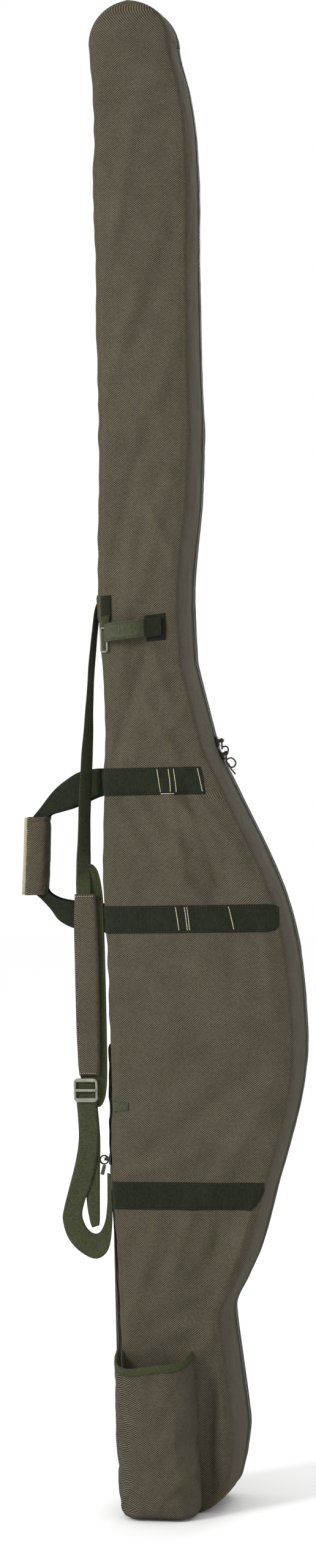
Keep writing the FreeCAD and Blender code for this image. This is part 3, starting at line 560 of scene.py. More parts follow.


# ---------------------------------------------------------------- the case's outline and surface

# The case's edges in front view, as (z, x), read from its outline.
RIGHT_EDGE = ((0, 118), (6, 127), (25, 149), (60, 158), (97, 164), (109, 164.6), (143, 161.5), (177, 157.4),
              (211, 153.3), (245, 149.3), (272, 147), (283, 149.5), (313, 166.6), (347, 184), (381, 195.5),
              (415, 205), (449, 214), (483, 224.9), (517, 235.1), (551, 244.8), (585, 252), (619, 256.8),
              (653, 258.4), (687, 257.2), (721, 255.4), (755, 252.6), (789, 248.2), (823, 241), (857, 231),
              (891, 218), (918, 206), (1055, 141), (1178, 112), (1231, 111), (1265, 110.5), (1299, 113),
              (1333, 117), (1401, 126.5), (1503, 133), (1571, 131.8), (1639, 132.4), (1741, 133.5),
              (1843, 136.6), (1911, 135), (1945, 131.5), (1979, 126.5), (2000, 121), (2020, 115.8),
              (2036, 113.5))
LEFT_EDGE = ((0, 2.5), (60, 4), (109, 5.5), (177, 3.6), (245, 4.4), (279, 4.2), (313, 3.4), (381, 1),
             (449, -3.2), (517, -3.2), (560, -1), (600, 0), (650, -1.8), (700, -2.6), (745, -1.4),
             (800, -4.2), (891, -6.2), (959, -4.2), (1027, -1.8), (1095, 1.4), (1163, 0.3), (1230, -3.8),
             (1265, -4.8), (1333, -3.4), (1401, -1), (1450, 0.4), (1503, 1.2), (1570, 2.2), (1639, 0.7),
             (1690, 1.4), (1741, 3), (1800, 1), (1843, 1.1), (1911, 4.8), (1979, 3.8), (2009, 1.4),
             (2036, -0.4))
# The round tip: centre x, centre z and radius.
LOBE = (57.0, 2036.0, 57.3)

FINE_Z = np.arange(0.0, 2037.0, 1.0)


def smoothed(table, width):
    """A table of (z, x) as a fine curve, rounded over a width in millimetres."""
    z, x = np.array(table, float).T
    fine = np.interp(FINE_Z, z, x)
    steps = np.arange(-3 * width, 3 * width + 1)
    kernel = np.exp(-0.5 * (steps / width) ** 2)
    padded = np.concatenate([fine[0] + (fine[1] - fine[0]) * np.arange(-3 * width, 0), fine,
                             fine[-1] + (fine[-1] - fine[-2]) * np.arange(1, 3 * width + 1)])
    return np.convolve(padded, kernel / kernel.sum(), "valid")


RIGHT_LINE = smoothed(RIGHT_EDGE, 6)
LEFT_WAVES = np.array([1.5 * noise.noise(Vector((z / 24.0, 0.5, 8.0))) for z in FINE_Z])
LEFT_LINE = smoothed(LEFT_EDGE, 12) + LEFT_WAVES


def lobe_sides(z, inset, least):
    """Left and right edge of the round tip at a height, inside its edge by an inset."""
    half = math.sqrt(max((LOBE[2] - inset) ** 2 - (z - LOBE[1]) ** 2, least))
    return LOBE[0] - half, LOBE[0] + half


def sides_at(z):
    """The case's left and right edge at a height."""
    if z > LOBE[1]:
        return lobe_sides(z, 0.0, 0.0)
    return float(np.interp(z, FINE_Z, LEFT_LINE)), float(np.interp(z, FINE_Z, RIGHT_LINE))


def depth_at(z):
    """The case's depth: even up to the taper's start, and then less towards the tip."""
    return DEPTH - TAPER * min(max((z - TAPER_START) / (TIP - TAPER_START), 0.0), 1.0)


def zip_at(z):
    """Where the zip lies on the gusset, in y."""
    return FRONT_Y + ZIP_SHARE * depth_at(z)


def bump_shape(value, centre, width):
    """A smooth bump of height 1."""
    return math.exp(-((value - centre) / width) ** 2)


def wrinkle(x, z, size, seed):
    """Seeded noise between about -1 and 1, with waves of a size in millimetres."""
    return noise.noise(Vector((x / size, z / size, seed)))


# Soft folds of the front: from (x, z) to (x, z), half width and height in millimetres.
FRONT_FOLDS = (
    (118, 12, 132, 150, 9, -5.0), (150, 30, 152, 170, 12, 3.5), (104, 210, 150, 262, 12, 3.0),
    (60, 262, 140, 300, 14, -2.0), (150, 300, 205, 430, 12, 3.0), (30, 300, 60, 400, 14, 2.0),
    (120, 330, 170, 412, 12, -2.5), (85, 340, 110, 415, 10, 2.0), (20, 470, 120, 500, 12, 2.0),
    (150, 470, 215, 560, 16, 2.6), (60, 505, 190, 600, 14, -2.2), (110, 640, 215, 560, 15, 2.0),
    (20, 690, 120, 650, 18, 2.0), (140, 745, 235, 700, 16, 2.4), (30, 780, 130, 730, 12, -2.0),
    (110, 862, 210, 780, 12, 2.8), (50, 930, 130, 862, 11, 2.6), (70, 978, 165, 880, 10, -2.6),
    (100, 990, 180, 905, 8, 2.8), (30, 985, 80, 900, 10, -2.0), (105, 1045, 60, 1130, 9, 2.0),
    (20, 1060, 60, 1180, 9, -1.8), (90, 1140, 60, 1240, 9, 2.0), (30, 1180, 45, 1330, 10, 1.8),
    (60, 1290, 100, 1420, 12, 2.0), (25, 1340, 70, 1500, 10, -1.6), (60, 1480, 110, 1600, 12, 1.8),
    (20, 1560, 60, 1680, 11, 1.6), (70, 1640, 118, 1780, 13, -1.8), (30, 1760, 60, 1900, 11, 1.8),
    (10, 1925, 90, 1940, 7, 1.4), (15, 1950, 85, 1958, 6, -1.4), (20, 1974, 100, 1980, 7, 1.5),
    (15, 1998, 80, 2006, 6, -1.2), (138, 985, 196, 905, 8, 2.6), (122, 984, 158, 885, 7, -2.4),
    (150, 1000, 205, 945, 6, 2.0), (96, 984, 112, 890, 8, 1.8), (112, 1166, 72, 1150, 6, 1.6),
    (111, 1198, 78, 1204, 5, -1.6), (111, 1234, 70, 1250, 6, 1.6), (108, 1100, 70, 1064, 8, 1.4),
    (196, 418, 176, 350, 8, 2.0), (150, 416, 140, 340, 9, -1.6), (222, 800, 232, 700, 8, 2.0),
    (180, 800, 176, 710, 10, -1.6), (150, 846, 170, 900, 9, -1.5), (118, 1290, 80, 1380, 7, 1.6),
)
FOLD_GAIN = 1.9
# Low and high edge of the bands across the case, and where each band presses the front in: (z, reach in x).
BANDS = {"upper": (995, 1033), "lower": (804, 842), "reel": (421, 459)}
BAND_LINES = ((440, 213), (823, 240), (1014, 140))


def fold_height(x, z, folds):
    """The height at a point of all the folds that pass near it."""
    total = 0.0
    for x0, z0, x1, z1, width, height in folds:
        run_x, run_z = x1 - x0, z1 - z0
        long = math.hypot(run_x, run_z)
        share = ((x - x0) * run_x + (z - z0) * run_z) / (long * long)
        if not -0.6 <= share <= 1.6:
            continue
        off = abs((x - x0) * run_z - (z - z0) * run_x) / long
        if off > 3.2 * width:
            continue
        end = max(0.0, -share, share - 1.0)
        total += height * math.exp(-(off / width) ** 2) * math.exp(-(end / 0.22) ** 2)
    return total


def billow(x, z, left, right):
    """How far the filled case stands out, away from its seams."""
    wide = right - left
    if wide < 1.0:
        return 0.0
    t = min(max((x - left) / wide, 0.0), 1.0)
    swell = 3.0 + 6.0 * min(max((wide - 110) / 150, 0.0), 1.0)
    if z < 240:
        swell *= 0.35 + 0.65 * max(0.0, z / 240 - 0.4)
    end = min(1.0, z / 60, (2093.5 - z) / 40)
    return swell * math.sin(math.pi * t) ** 0.8 * max(end, 0.0)


def seam_pucker(distance, z, seed):
    """Small gathers along a seam."""
    wave = wrinkle(seed * 7.0, z, 9.0, seed) * 1.6 + wrinkle(seed, z, 22.0, seed + 4) * 1.6
    return wave * math.exp(-(distance / 14.0) ** 2)


# The simulated cloth's lowest row, row height and columns.
CLOTH_LOW = 4.0
CLOTH_ROW = 7.0
CLOTH_COLUMNS = 30


def settled_relief(side, held, share, limit, seed):
    """How far the fabric of the front (side -1) or the back (side 1) stands out when it is at rest,
    sewn along its edges and under what is held: (low z, high z, reach in x)."""
    heights = np.arange(CLOTH_LOW, 2092.0, CLOTH_ROW)
    points, pins = [], []
    for i, z in enumerate(heights):
        for j, x in enumerate(np.linspace(*sides_at(z), CLOTH_COLUMNS)):
            y = 0.8 * wrinkle(x, z, 30.0, seed) + 0.4 * wrinkle(x, z, 9.0, seed + 1)
            sewn = j in (0, CLOTH_COLUMNS - 1) or i in (0, len(heights) - 1)
            if sewn or any(low <= z <= high and x < reach for low, high, reach in held):
                pins.append(len(points))
                y = 0.0
            points.append((x, y, z))
    faces = grid_faces(len(heights), CLOTH_COLUMNS, flip=side > 0)
    rested = settle(points, faces, pins, 1.2, 0.008, 2.0)
    out = np.clip(rested[:, 1] * side * share, -limit, limit)
    return out.reshape(len(heights), CLOTH_COLUMNS)


def under_bands(*reaches):
    return tuple((*edges, reach) for edges, reach in zip(BANDS.values(), reaches))


FRONT_CLOTH = settled_relief(-1, under_bands(144, 242, 213) + ((1203, 1250, 96),), 0.75, 13.0, 3.3)
BACK_CLOTH = settled_relief(1, under_bands(138, 230, 200), 0.5, 8.0, 7.7)


def cloth_height(table, x, z, left, right):
    """The settled relief at a point, between its rows and columns."""
    row = min(max((z - CLOTH_LOW) / CLOTH_ROW, 0.0), len(table) - 1.001)
    column = min(max((x - left) / max(right - left, 0.01), 0.0), 0.9999) * (CLOTH_COLUMNS - 1)
    i, j = int(row), int(column)
    s, t = row - i, column - j
    near = table[i, j] * (1 - t) + table[i, j + 1] * t
    far = table[i + 1, j] * (1 - t) + table[i + 1, j + 1] * t
    return near * (1 - s) + far * s


def soft_floor(height):
    """The fabric never sinks into the lining behind it."""
    return -0.6 + 0.5 * (height + 0.6 + math.hypot(height + 0.6, 0.8))


def softness(x, left, right):
    """Nothing at the seams, and all of it from 12 mm inside them."""
    return min(1.0, max(min(x - left, right - x), 0.0) / 12.0)


def front_relief(x, z):
    """How far the front's fabric stands out from its flat plane."""
    left, right = sides_at(z)
    soft = softness(x, left, right)
    height = 0.35 * billow(x, z, left, right) + cloth_height(FRONT_CLOTH, x, z, left, right) + 3.0 * soft
    height += soft * (2.4 * wrinkle(x, z, 120.0, 1.0) + 1.0 * wrinkle(x, z, 46.0, 2.0)
                      + 0.4 * wrinkle(x, z, 17.0, 3.0))
    height += soft * FOLD_GAIN * fold_height(x, z, FRONT_FOLDS)
    height += seam_pucker(right - x, z, 5.0)
    for level, reach in BAND_LINES:
        if x < reach + 20:
            height -= 1.6 * bump_shape(z, level, 24.0) * soft
    return soft_floor(height)


def back_relief(x, z):
    left, right = sides_at(z)
    soft = softness(x, left, right)
    height = 0.3 * billow(x, z, left, right) + cloth_height(BACK_CLOTH, x, z, left, right)
    height += soft * (1.8 * wrinkle(x, z, 130.0, 11.0) + 1.0 * wrinkle(x, z, 50.0, 12.0)
                      + 0.4 * wrinkle(x, z, 17.0, 13.0))
    height += seam_pucker(right - x, z, 15.0)
    return soft_floor(height + 2.0 * soft)


def side_relief(y, z, seed):
    """The gusset's and the spine's soft waves."""
    return (1.6 * wrinkle(y, z, 90.0, seed) + 1.0 * wrinkle(y, z, 34.0, seed + 1)
            + 0.5 * wrinkle(y, z, 14.0, seed + 2))


def front_point(x, z, lift=0.0):
    """A point on the case's front, raised by a lift."""
    left = sides_at(z)[0]
    round_left = max(0.0, 1.0 - (x - left) / CORNER)
    drop = CORNER * (1.0 - math.sqrt(max(0.0, 1.0 - min(round_left, 1.0) ** 2)))
    return x, FRONT_Y + drop - front_relief(x, z) - lift, z


def back_point(x, z, lift=0.0):
    return x, FRONT_Y + depth_at(z) + back_relief(x, z) + lift, z


def shell_rows():
    """Heights of the shell's rows: even up to the tip lobe, and then even round it."""
    rows = [0.0, 1.5, 3.5]
    rows += list(np.arange(7.0, LOBE[1], ROW_STEP))
    rows += [LOBE[1] + LOBE[2] * math.sin(math.radians(a)) for a in np.linspace(1.5, 89.2, 26)]
    return rows


def foot_inset(z):
    """The section is a little smaller where the case rounds to its base."""
    return 5.0 * math.exp(-z / 4.0)


def cover_section(z):
    """The cover's section: round the front left corner, over the front, round the right corner and
    back along the gusset to the zip."""
    left, right = sides_at(z)
    inset = foot_inset(z)
    left += inset
    right -= inset
    wide = max(right - left, 0.02)
    radius = min(CORNER, wide * 0.45)
    line = [(left + radius * (1 - math.cos(math.radians(a))),
             FRONT_Y + inset + radius * (1 - math.sin(math.radians(a))), z) for a in np.linspace(0, 90, 6)]
    for x in np.linspace(left + radius, right - radius, 54)[1:]:
        line.append((x, FRONT_Y + inset - front_relief(x, z), z))
    for a in np.linspace(90, 0, 7)[1:]:
        turn = math.radians(a)
        x = right - radius * (1 - math.cos(turn))
        y = FRONT_Y + inset + radius * (1 - math.sin(turn)) - front_relief(right - radius, z) * math.sin(turn)
        line.append((x, y, z))
    last = line[-1][1]
    stop = zip_at(z) - 1.0
    for y in np.linspace(last, stop, 24)[1:]:
        share = (y - last) / (stop - last)
        soft = math.sin(math.pi * share) ** 0.7
        out = soft * (side_relief(y, z, 21.0) + 2.4) + seam_pucker(y - last, z, 25.0) * 0.6
        line.append((right + out * min(1.0, wide / 60), y, z))
    return line


def case_section(z):
    """The case's section from the zip: rear gusset, back, spine, to the front left corner."""
    left, right = sides_at(z)
    inset = foot_inset(z)
    left += inset
    right -= inset
    wide = max(right - left, 0.02)
    radius = min(CORNER, wide * 0.45)
    back = FRONT_Y + depth_at(z) - inset
    scale = min(1.0, wide / 60)
    line = []
    start = zip_at(z) + 1.0
    for y in np.linspace(start, back - radius, 8):
        share = (y - start) / (back - radius - start)
        soft = math.sin(math.pi * min(max(share, 0), 1)) ** 0.7
        line.append((right + soft * (side_relief(y, z, 31.0) + 1.2) * scale, y, z))
    for a in np.linspace(0, 90, 6)[1:]:
        turn = math.radians(a)
        line.append((right - radius * (1 - math.cos(turn)), back - radius * (1 - math.sin(turn)), z))
    for x in np.linspace(right - radius, left + radius, 46)[1:]:
        line.append((x, back + back_relief(x, z), z))
    for a in np.linspace(90, 0, 6)[1:]:
        turn = math.radians(a)
        line.append((left + radius * (1 - math.cos(turn)), back - radius * (1 - math.sin(turn)), z))
    first = back - radius
    stop = FRONT_Y + CORNER
    for y in np.linspace(first, stop, 26)[1:]:
        share = (y - first) / (stop - first)
        soft = math.sin(math.pi * min(max(share, 0), 1)) ** 0.6
        line.append((left - soft * (side_relief(y, z, 41.0) + 0.6) * scale, y, z))
    return line


def section_runs(line, from_end):
    """The length along a section from its first or last point, in metres, for the weave."""
    run = run_along(line) * 0.001
    return run - run[-1] if from_end else run


def make_shell(name, section, body, nodes, thick=3.4):
    """A shell lofted through its sections, fabric outside and lining inside."""
    rows = shell_rows()
    lines = [section(z) for z in rows]
    columns = len(lines[0])
    points = [p for line in lines for p in line]
    uvs = [(run, line[0][2] * 0.001) for line in lines for run in section_runs(line, body == "case")]
    piece = new_piece(name, points, grid_faces(len(rows), columns), "shell", body, nodes, uvs)
    piece.data.materials.append(MATS["lining"])
    thicken(piece, thick).material_offset = 1
    return piece


def make_shells():
    """The cover's fabric folds just beside the spine, where it is one piece with it."""
    cover = make_shell("cover_shell", cover_section, None, ("front_panel", "front_gusset"))
    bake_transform(cover)
    make_shell("case_shell", case_section, "case", ("back_panel", "rear_gusset", "spine_panel"))


# ---------------------------------------------------------------- zip

ZIP_START, ZIP_END = 58.0, 2006.0


def edge_line(step):
    """Points along the zip's course in front view, up the right side and over the tip to the spine,
    with their outward directions."""
    fine = [(sides_at(z)[1], z) for z in np.arange(ZIP_START, LOBE[1], 2.0)]
    fine += [(LOBE[0] + LOBE[2] * math.cos(math.radians(a)), LOBE[1] + LOBE[2] * math.sin(math.radians(a)))
             for a in range(0, 181, 2)]
    fine += [(sides_at(z)[0], z) for z in np.arange(LOBE[1] - 2, ZIP_END, -2.0)]
    fine = np.array(fine)
    run = run_along(fine)
    wanted = np.arange(0, run[-1], step)
    xs = np.interp(wanted, run, fine[:, 0])
    zs = np.interp(wanted, run, fine[:, 1])
    tx, tz = np.gradient(xs), np.gradient(zs)
    size = np.hypot(tx, tz)
    return [(x, z, dz / s, -dx / s) for x, z, dx, dz, s in zip(xs, zs, tx, tz, size)]


def make_zip_tape(name, side, body, node):
    """A zip tape lying on the gusset beside the chain, with a raised woven edge."""
    profile = ((1.2, 0.9), (2.0, 1.3), (3.2, 1.2), (6.0, 1.0), (9.0, 0.9), (11.0, 0.9), (12.4, 0.9),
               (13.0, 0.2), (12.4, -0.6), (6.0, -0.6), (1.2, -0.4))
    line = edge_line(4.0)
    points, uvs = [], []
    for i, (x, z, out_x, out_z) in enumerate(line):
        for across, lift in profile:
            wave = 0.25 * wrinkle(across, i * 4.0, 30.0, 51.0 + side)
            lift += wave if lift > 0 else 0
            points.append((x + out_x * lift, zip_at(z) + side * across, z + out_z * lift))
            uvs.append((across * 0.001, i * 0.004))
    columns = len(profile)
    faces = grid_faces(len(line), columns, close_columns=True, flip=side < 0)
    return new_piece(name, points, faces, "tape", body, (node,), uvs)


TOOTH_PITCH = 2.4


def make_teeth(name, side, body, node):
    """The coil of one zip half: small rounded teeth that reach just over the middle line."""
    line = edge_line(TOOTH_PITCH * 0.5)[(0 if side < 0 else 1)::2]
    points, faces = [], []
    for x, z, out_x, out_z in line:
        along_x, along_z = -out_z, out_x
        first = len(points)
        y = zip_at(z)
        for across, grow in ((-0.5, 0.55), (0.1, 1.0), (1.6, 1.0), (2.4, 0.7)):
            for k in range(6):
                turn = 2 * math.pi * k / 6
                step = 0.85 * grow * math.cos(turn)
                lift = 1.35 + 0.95 * grow * math.sin(turn)
                points.append((x + out_x * lift + along_x * step, y + side * across,
                               z + out_z * lift + along_z * step))
        faces += bead_faces(first, 4, 6, flip=side > 0)
    return new_piece(name, points, faces, "teeth", body, (node,))


def make_zip():
    for side, half, body in ((-1, "front", "cover"), (1, "rear", "case")):
        make_zip_tape(f"{half}_zip_tape_cloth", side, body, f"{half}_zip_tape")
        make_teeth(f"{half}_zip_teeth", side, body, f"{half}_zip_chain")
        line = edge_line(3.0)
        seam = [(x + ox * 1.0, zip_at(z) + side * 10.4, z + oz * 1.0) for x, z, ox, oz in line]
        threads(f"{half}_zip_stitches", stitch_line(seam, 3.4), "dark_thread", body, 0.35, 5)


# ---------------------------------------------------------------- bands

def surface_band(name, point, corners, thick, look, body, nodes=(), step=4.0, rows=8, seed=0.0):
    """Webbing that lies on a surface. corners gives (x, low z, high z) stations along it."""
    stations = np.array(corners, float)
    count = max(4, int((stations[-1, 0] - stations[0, 0]) / step))
    xs = np.linspace(stations[0, 0], stations[-1, 0], count)
    lows = np.interp(xs, stations[:, 0], stations[:, 1])
    highs = np.interp(xs, stations[:, 0], stations[:, 2])
    points, uvs = [], []
    for x, low, high in zip(xs, lows, highs):
        for face, inner in ((0, False), (1, True)):
            for j in range(rows):
                t = j / (rows - 1)
                edge = min(t, 1 - t) * (high - low)
                z = low + (high - low) * t
                lift = thick * min(1.0, 0.45 + edge * 0.4) + 0.3 * wrinkle(x, z, 26.0, 60.0 + seed)
                points.append(point(x, z, -0.8 if inner else lift))
                uvs.append((z * 0.001, x * 0.001))
    faces = [face[::-1] for face in section_faces(count, rows)]
    return new_piece(name, points, faces, look, body, nodes, uvs)


def on_front(line, lift=2.0):
    return [front_point(x, z, lift) for x, z in line]


def dense(line, step=2.0):
    """Points every step along a line."""
    pts = np.array(line, float)
    run = run_along(pts)
    wanted = np.linspace(0, run[-1], max(2, int(run[-1] / step)))
    return [tuple(np.interp(w, run, pts[:, k]) for k in range(pts.shape[1])) for w in wanted]


def make_bands():
    front = {"upper": ((-2.8, 995, 1033), (137.5, 995, 1033), (143, 995, 998)),
             "lower": ((-5.8, 804, 842), (225, 804, 842), (236, 806, 841), (242, 812, 838)),
             "reel": ((-3.4, 421, 459), (194, 421, 459), (204, 428, 459), (213, 446, 459))}
    for seed, (name, corners) in enumerate(front.items(), 1):
        surface_band(f"front_{name}_band_webbing", front_point, corners, 1.7, "band", "cover",
                     (f"front_{name}_band",), 2.0, seed=seed)
    for (name, (low, high)), reach in zip(BANDS.items(), (138, 227, 197)):
        surface_band(f"rear_{name}_band_webbing", back_point, ((4, low, high), (reach, low + 1, high)),
                     1.7, "band", "case", (f"rear_{name}_band",), seed=4 + reach)
        stitches = []
        for z in (low + 2.5, high - 2.5):
            stitches += stitch_line([back_point(*p, 2.0) for p in dense(((6, z), (reach - 4, z)))], 3.4)
        threads(f"rear_{name}_band_stitches", stitches, "dark_thread", "case", 0.4)
    # The slanted and straight stitch rows of the two handle bands: (x, z) ends on the front
    pale = [((75.5, 1031), (80.5, 997)), ((91.5, 1031), (95.5, 997)), ((99, 1031), (103, 997)),
            ((132.5, 1031), (139.5, 998)), ((80.5, 996.5), (103, 996.5)), ((98, 840), (102.5, 806)),
            ((110.5, 840), (114.3, 806)), ((114, 840), (117.6, 806)), ((172, 840), (180, 806))]
    stitches = []
    for row in pale:
        stitches += stitch_line(on_front(dense(row, 1.5)), 3.6, 1.2)
    threads("handle_band_bar_stitches", stitches, "thread", "cover", 0.62)
    plain = []
    for (low, high), reach in zip(BANDS.values(), (134, 228, 196)):
        for z in (low + 2.4, high - 2.4):
            plain += stitch_line(on_front(dense(((6, z), (reach, z)))), 3.4)
    threads("front_band_stitches", plain, "dark_thread", "cover", 0.4)
    surface_band("side_tab_tape", front_point, ((1, 557, 570), (25, 558, 570)), 1.4, "green", "cover",
                 ("side_tab",), 2.0, 6, 7)


# ---------------------------------------------------------------- spine side

def spine_point(y, z, lift=0.0):
    """A point on the spine's left face, raised to the left."""
    back = FRONT_Y + depth_at(z) - CORNER
    share = min(max((back - y) / (back - FRONT_Y - CORNER), 0.0), 1.0)
    soft = math.sin(math.pi * share) ** 0.6
    return sides_at(z)[0] - soft * (side_relief(y, z, 41.0) + 0.6) - lift, y, z


def make_anchors():
    """Webbing ends sewn to the spine, each with a boxed cross of stitches."""
    for side, near, far in (("front", -60, -24), ("rear", 24, 62)):
        for name, low in (("upper", 995), ("lower", 804)):
            corners = ((near, low, low + 38), (far, low, low + 38))
            surface_band(f"{side}_{name}_handle_anchor", spine_point, corners, 1.9, "band", "case",
                         (f"{side}_handle_anchors",), 3.0, 8, near + low)
            box_stitches(f"{side}_{name}_anchor_stitches", near + 4, far - 4, low + 4, low + 34)
    for seed, (name, far, low) in enumerate((("upper", -31, 1238), ("lower", -34, 446)), 71):
        corners = ((-60, low, low + 36), (far, low, low + 36))
        surface_band(f"{name}_strap_anchor_webbing", spine_point, corners, 1.9, "carry", "case",
                     (f"{name}_strap_anchor",), 3.0, 8, seed)
        box_stitches(f"{name}_strap_anchor_stitches", -57, far - 3, low + 3, low + 33)


def box_stitches(name, near, far, low, high):
    """A stitched box with a cross on the spine, in thread."""
    runs = [((near, low), (far, low)), ((far, low), (far, high)), ((far, high), (near, high)),
            ((near, high), (near, low)), ((near, low), (far, high)), ((near, high), (far, low))]
    stitches = []
    for run in runs:
        stitches += stitch_line([spine_point(y, z, 2.2) for y, z in dense(run)], 3.0)
    threads(name, stitches, "dark_thread", "case", 0.4)


SIDE_LOW, SIDE_HIGH = 190.0, 650.0
SIDE_NEAR, SIDE_FAR = -26.0, 46.0
SIDE_REACH = 10.6


def make_side_pocket():
    """The flat zipped pocket on the spine: a soft face with its zip along the front edge."""
    rows, columns = 110, 24
    points = []
    for i in range(rows):
        z = SIDE_LOW + (SIDE_HIGH - SIDE_LOW) * i / (rows - 1)
        for j in range(columns):
            y = SIDE_NEAR + (SIDE_FAR - SIDE_NEAR) * j / (columns - 1)
            full = min(1.0, min(z - SIDE_LOW, SIDE_HIGH - z, SIDE_FAR - y) / 9.0)
            rise = math.sqrt(max(0.0, 1 - (1 - full) ** 2))
            slack = 1.2 * wrinkle(y, z, 40.0, 81.0) + 0.8 * wrinkle(y, z, 17.0, 82.0)
            x = spine_point(y, z)[0] + 0.4 - (SIDE_REACH - 0.4) * rise - (slack - 0.9) * full
            points.append((x, y, z))
    faces = grid_faces(rows, columns)
    piece = new_piece("side_pocket_cloth", points, faces, "fabric", "case", ("side_pocket",))
    thicken(piece, 1.4)
    near, far, low, high = SIDE_NEAR + 6, SIDE_FAR - 11, SIDE_LOW + 11, SIDE_HIGH - 11
    seam = [(spine_point(y, z)[0] - SIDE_REACH - 0.6, y, z)
            for y, z in dense(((near, low), (far, low), (far, high), (near, high)))]
    threads("side_pocket_stitches", stitch_line(seam, 3.4), "dark_thread", "case", 0.4)
    make_side_zip()


def make_side_zip():
    """The coil along the side pocket's front edge, with a narrow flap behind it."""
    points, faces = [], []
    for k in range(int((SIDE_HIGH - SIDE_LOW - 12) / TOOTH_PITCH)):
        z = SIDE_LOW + 6 + k * TOOTH_PITCH
        x = -9.8 + 0.7 * max(0.0, sides_at(z)[0])
        first = len(points)
        for y, grow in ((SIDE_NEAR + 1.6, 0.6), (SIDE_NEAR - 0.6, 1.0), (SIDE_NEAR - 2.4, 0.6)):
            for m in range(6):
                turn = math.pi * m / 3
                points.append((x + 1.0 * grow * math.cos(turn), y, z + 0.9 * grow * math.sin(turn)))
        faces += bead_faces(first, 3, 6)
    new_piece("side_zip_teeth", points, faces, "coil", "case", ("side_zip_chain",))
    pairs = [((-10.4, SIDE_NEAR + 0.5, z), (-1.5, SIDE_NEAR + 1.0, z))
             for z in (SIDE_LOW + 3, 320, 480, SIDE_HIGH - 3)]
    strip("side_zip_flap", pairs, 0.9, "fabric", "case", columns=5, seed=83)


# ---------------------------------------------------------------- carry handle

# The outer and the inner edge of the handle straps, as (x, z), from the upper anchor to the lower.
HANDLE_PAIRS = (
    ((-1.0, 1033), (-1.0, 995)), ((-22, 1033), (-22, 994)), ((-46, 1029), (-43, 986)),
    ((-66, 1019), (-62, 978)), ((-87, 1004), (-80, 973)), ((-108, 981), (-96, 968)),
    ((-124, 962), (-102, 956)), ((-127, 940), (-102, 940)), ((-127, 911), (-102, 911)),
    ((-127, 884), (-102, 882)), ((-124, 862), (-102, 866)), ((-112, 851), (-97, 858)),
    ((-96, 835), (-84, 851)), ((-83, 820), (-66, 847)), ((-59, 809), (-50, 845)),
    ((-22, 804), (-22, 842)), ((-1.0, 804), (-1.0, 842)),
)


def handle_point(x, z, side, lift=0.0):
    """A point of one handle strap's own plane, turned towards the middle of the depth."""
    turn = math.radians(11.6)
    along = x + 22.0
    y = 24.0 + along * math.sin(turn)
    sag = 2.2 * math.sin(math.pi * min(max((x + 100) / 100, 0), 1)) * math.sin(z / 31.0)
    return -22.0 + along * math.cos(turn), side * (y + lift + sag), z


def make_handle():
    for side, name in ((-1, "front"), (1, "rear")):
        pairs = [(handle_point(*outer, side, 1.2 * side), handle_point(*inner, side, -1.2 * side))
                 for outer, inner in HANDLE_PAIRS]
        if side > 0:
            pairs = [pair[::-1] for pair in pairs]
        strap = strip(f"{name}_handle_webbing", pairs, 1.7, "band", None, (f"{name}_handle_strap",), 4.0, 9,
                      0.8, 90 + side, 0.9)
        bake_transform(strap)
    make_grip()


GRIP_LOW, GRIP_HIGH = 856.5, 966.5
GRIP_X = -114.0
GRIP_ROWS, GRIP_SIDES = 46, 40


def grip_lean(z):
    """The sleeve leans: its top stands further to the right than its foot."""
    return -6.6 * (0.5 - (z - GRIP_LOW) / (GRIP_HIGH - GRIP_LOW))


def grip_section(z):
    """The sleeve's section: a soft wrap round both straps, pinched at the outer side by its closure."""
    swell = 1.0 + 0.06 * math.sin(math.pi * (z - GRIP_LOW) / (GRIP_HIGH - GRIP_LOW)) ** 0.7
    hem = -0.5 * (bump_shape(z, GRIP_LOW + 6, 2.0) + bump_shape(z, GRIP_HIGH - 6, 2.0))
    line = []
    for k in range(GRIP_SIDES):
        turn = 2 * math.pi * k / GRIP_SIDES
        across, side = math.cos(turn), math.sin(turn)
        narrow = 1.0 - 0.72 * max(0.0, -across) ** 5 - 0.25 * max(0.0, across) ** 4
        x = 16.6 * math.copysign(abs(across) ** 0.5, across)
        y = 14.6 * narrow * math.copysign(abs(side) ** 0.6, side) * swell
        out = (0.7 * noise.noise(Vector((turn * 1.4, z / 26.0, 95.0)))
               + 0.4 * noise.noise(Vector((turn * 3, z / 11.0, 96.0))))
        grow = 1.0 + (out + hem) / 16.0
        line.append((GRIP_X + x * grow + grip_lean(z), y * grow, z))
    return line


def make_grip():
    rows = [grip_section(z) for z in np.linspace(GRIP_LOW, GRIP_HIGH, GRIP_ROWS)]
    points = [p for row in rows for p in row]
    faces = grid_faces(GRIP_ROWS, GRIP_SIDES, close_columns=True)
    pins = [k for k in range(GRIP_ROWS * GRIP_SIDES)
            if k // GRIP_SIDES in (0, GRIP_ROWS - 1) or k % GRIP_SIDES in (19, 20, 21)]
    points = capped(points, settle(points, faces, pins, 0.8, 0.012, 1.0), 4.0)
    grip = new_piece("grip_sleeve_cloth", points, faces, "fabric", "handle", ("grip_sleeve",))
    thicken(grip, 2.6)
    hem = []
    for z in (GRIP_LOW + 6, GRIP_HIGH - 6):
        ring = grip_section(z)
        hem += stitch_line([(x - 0.2, y * 1.03, z) for x, y, z in ring + ring[:1]], 3.2)
    threads("grip_hem_stitches", hem, "dark_thread", "handle", 0.4)
    pairs = [((-134.2 + grip_lean(z), -4.2, z), (-128.8 + grip_lean(z), -5.6, z))
             for z in np.linspace(GRIP_LOW + 0.5, GRIP_HIGH - 0.5, 8)]
    strip("grip_closure_tape", pairs, 1.6, "cream", "handle", ("grip_closure",), columns=7, seed=97)
    seam = [(-131.4 + grip_lean(z), -6.0, z) for z in np.linspace(GRIP_LOW + 2.5, GRIP_HIGH - 2.5, 40)]
    threads("grip_closure_stitches", stitch_line(seam, 3.0), "thread", "handle", 0.35)


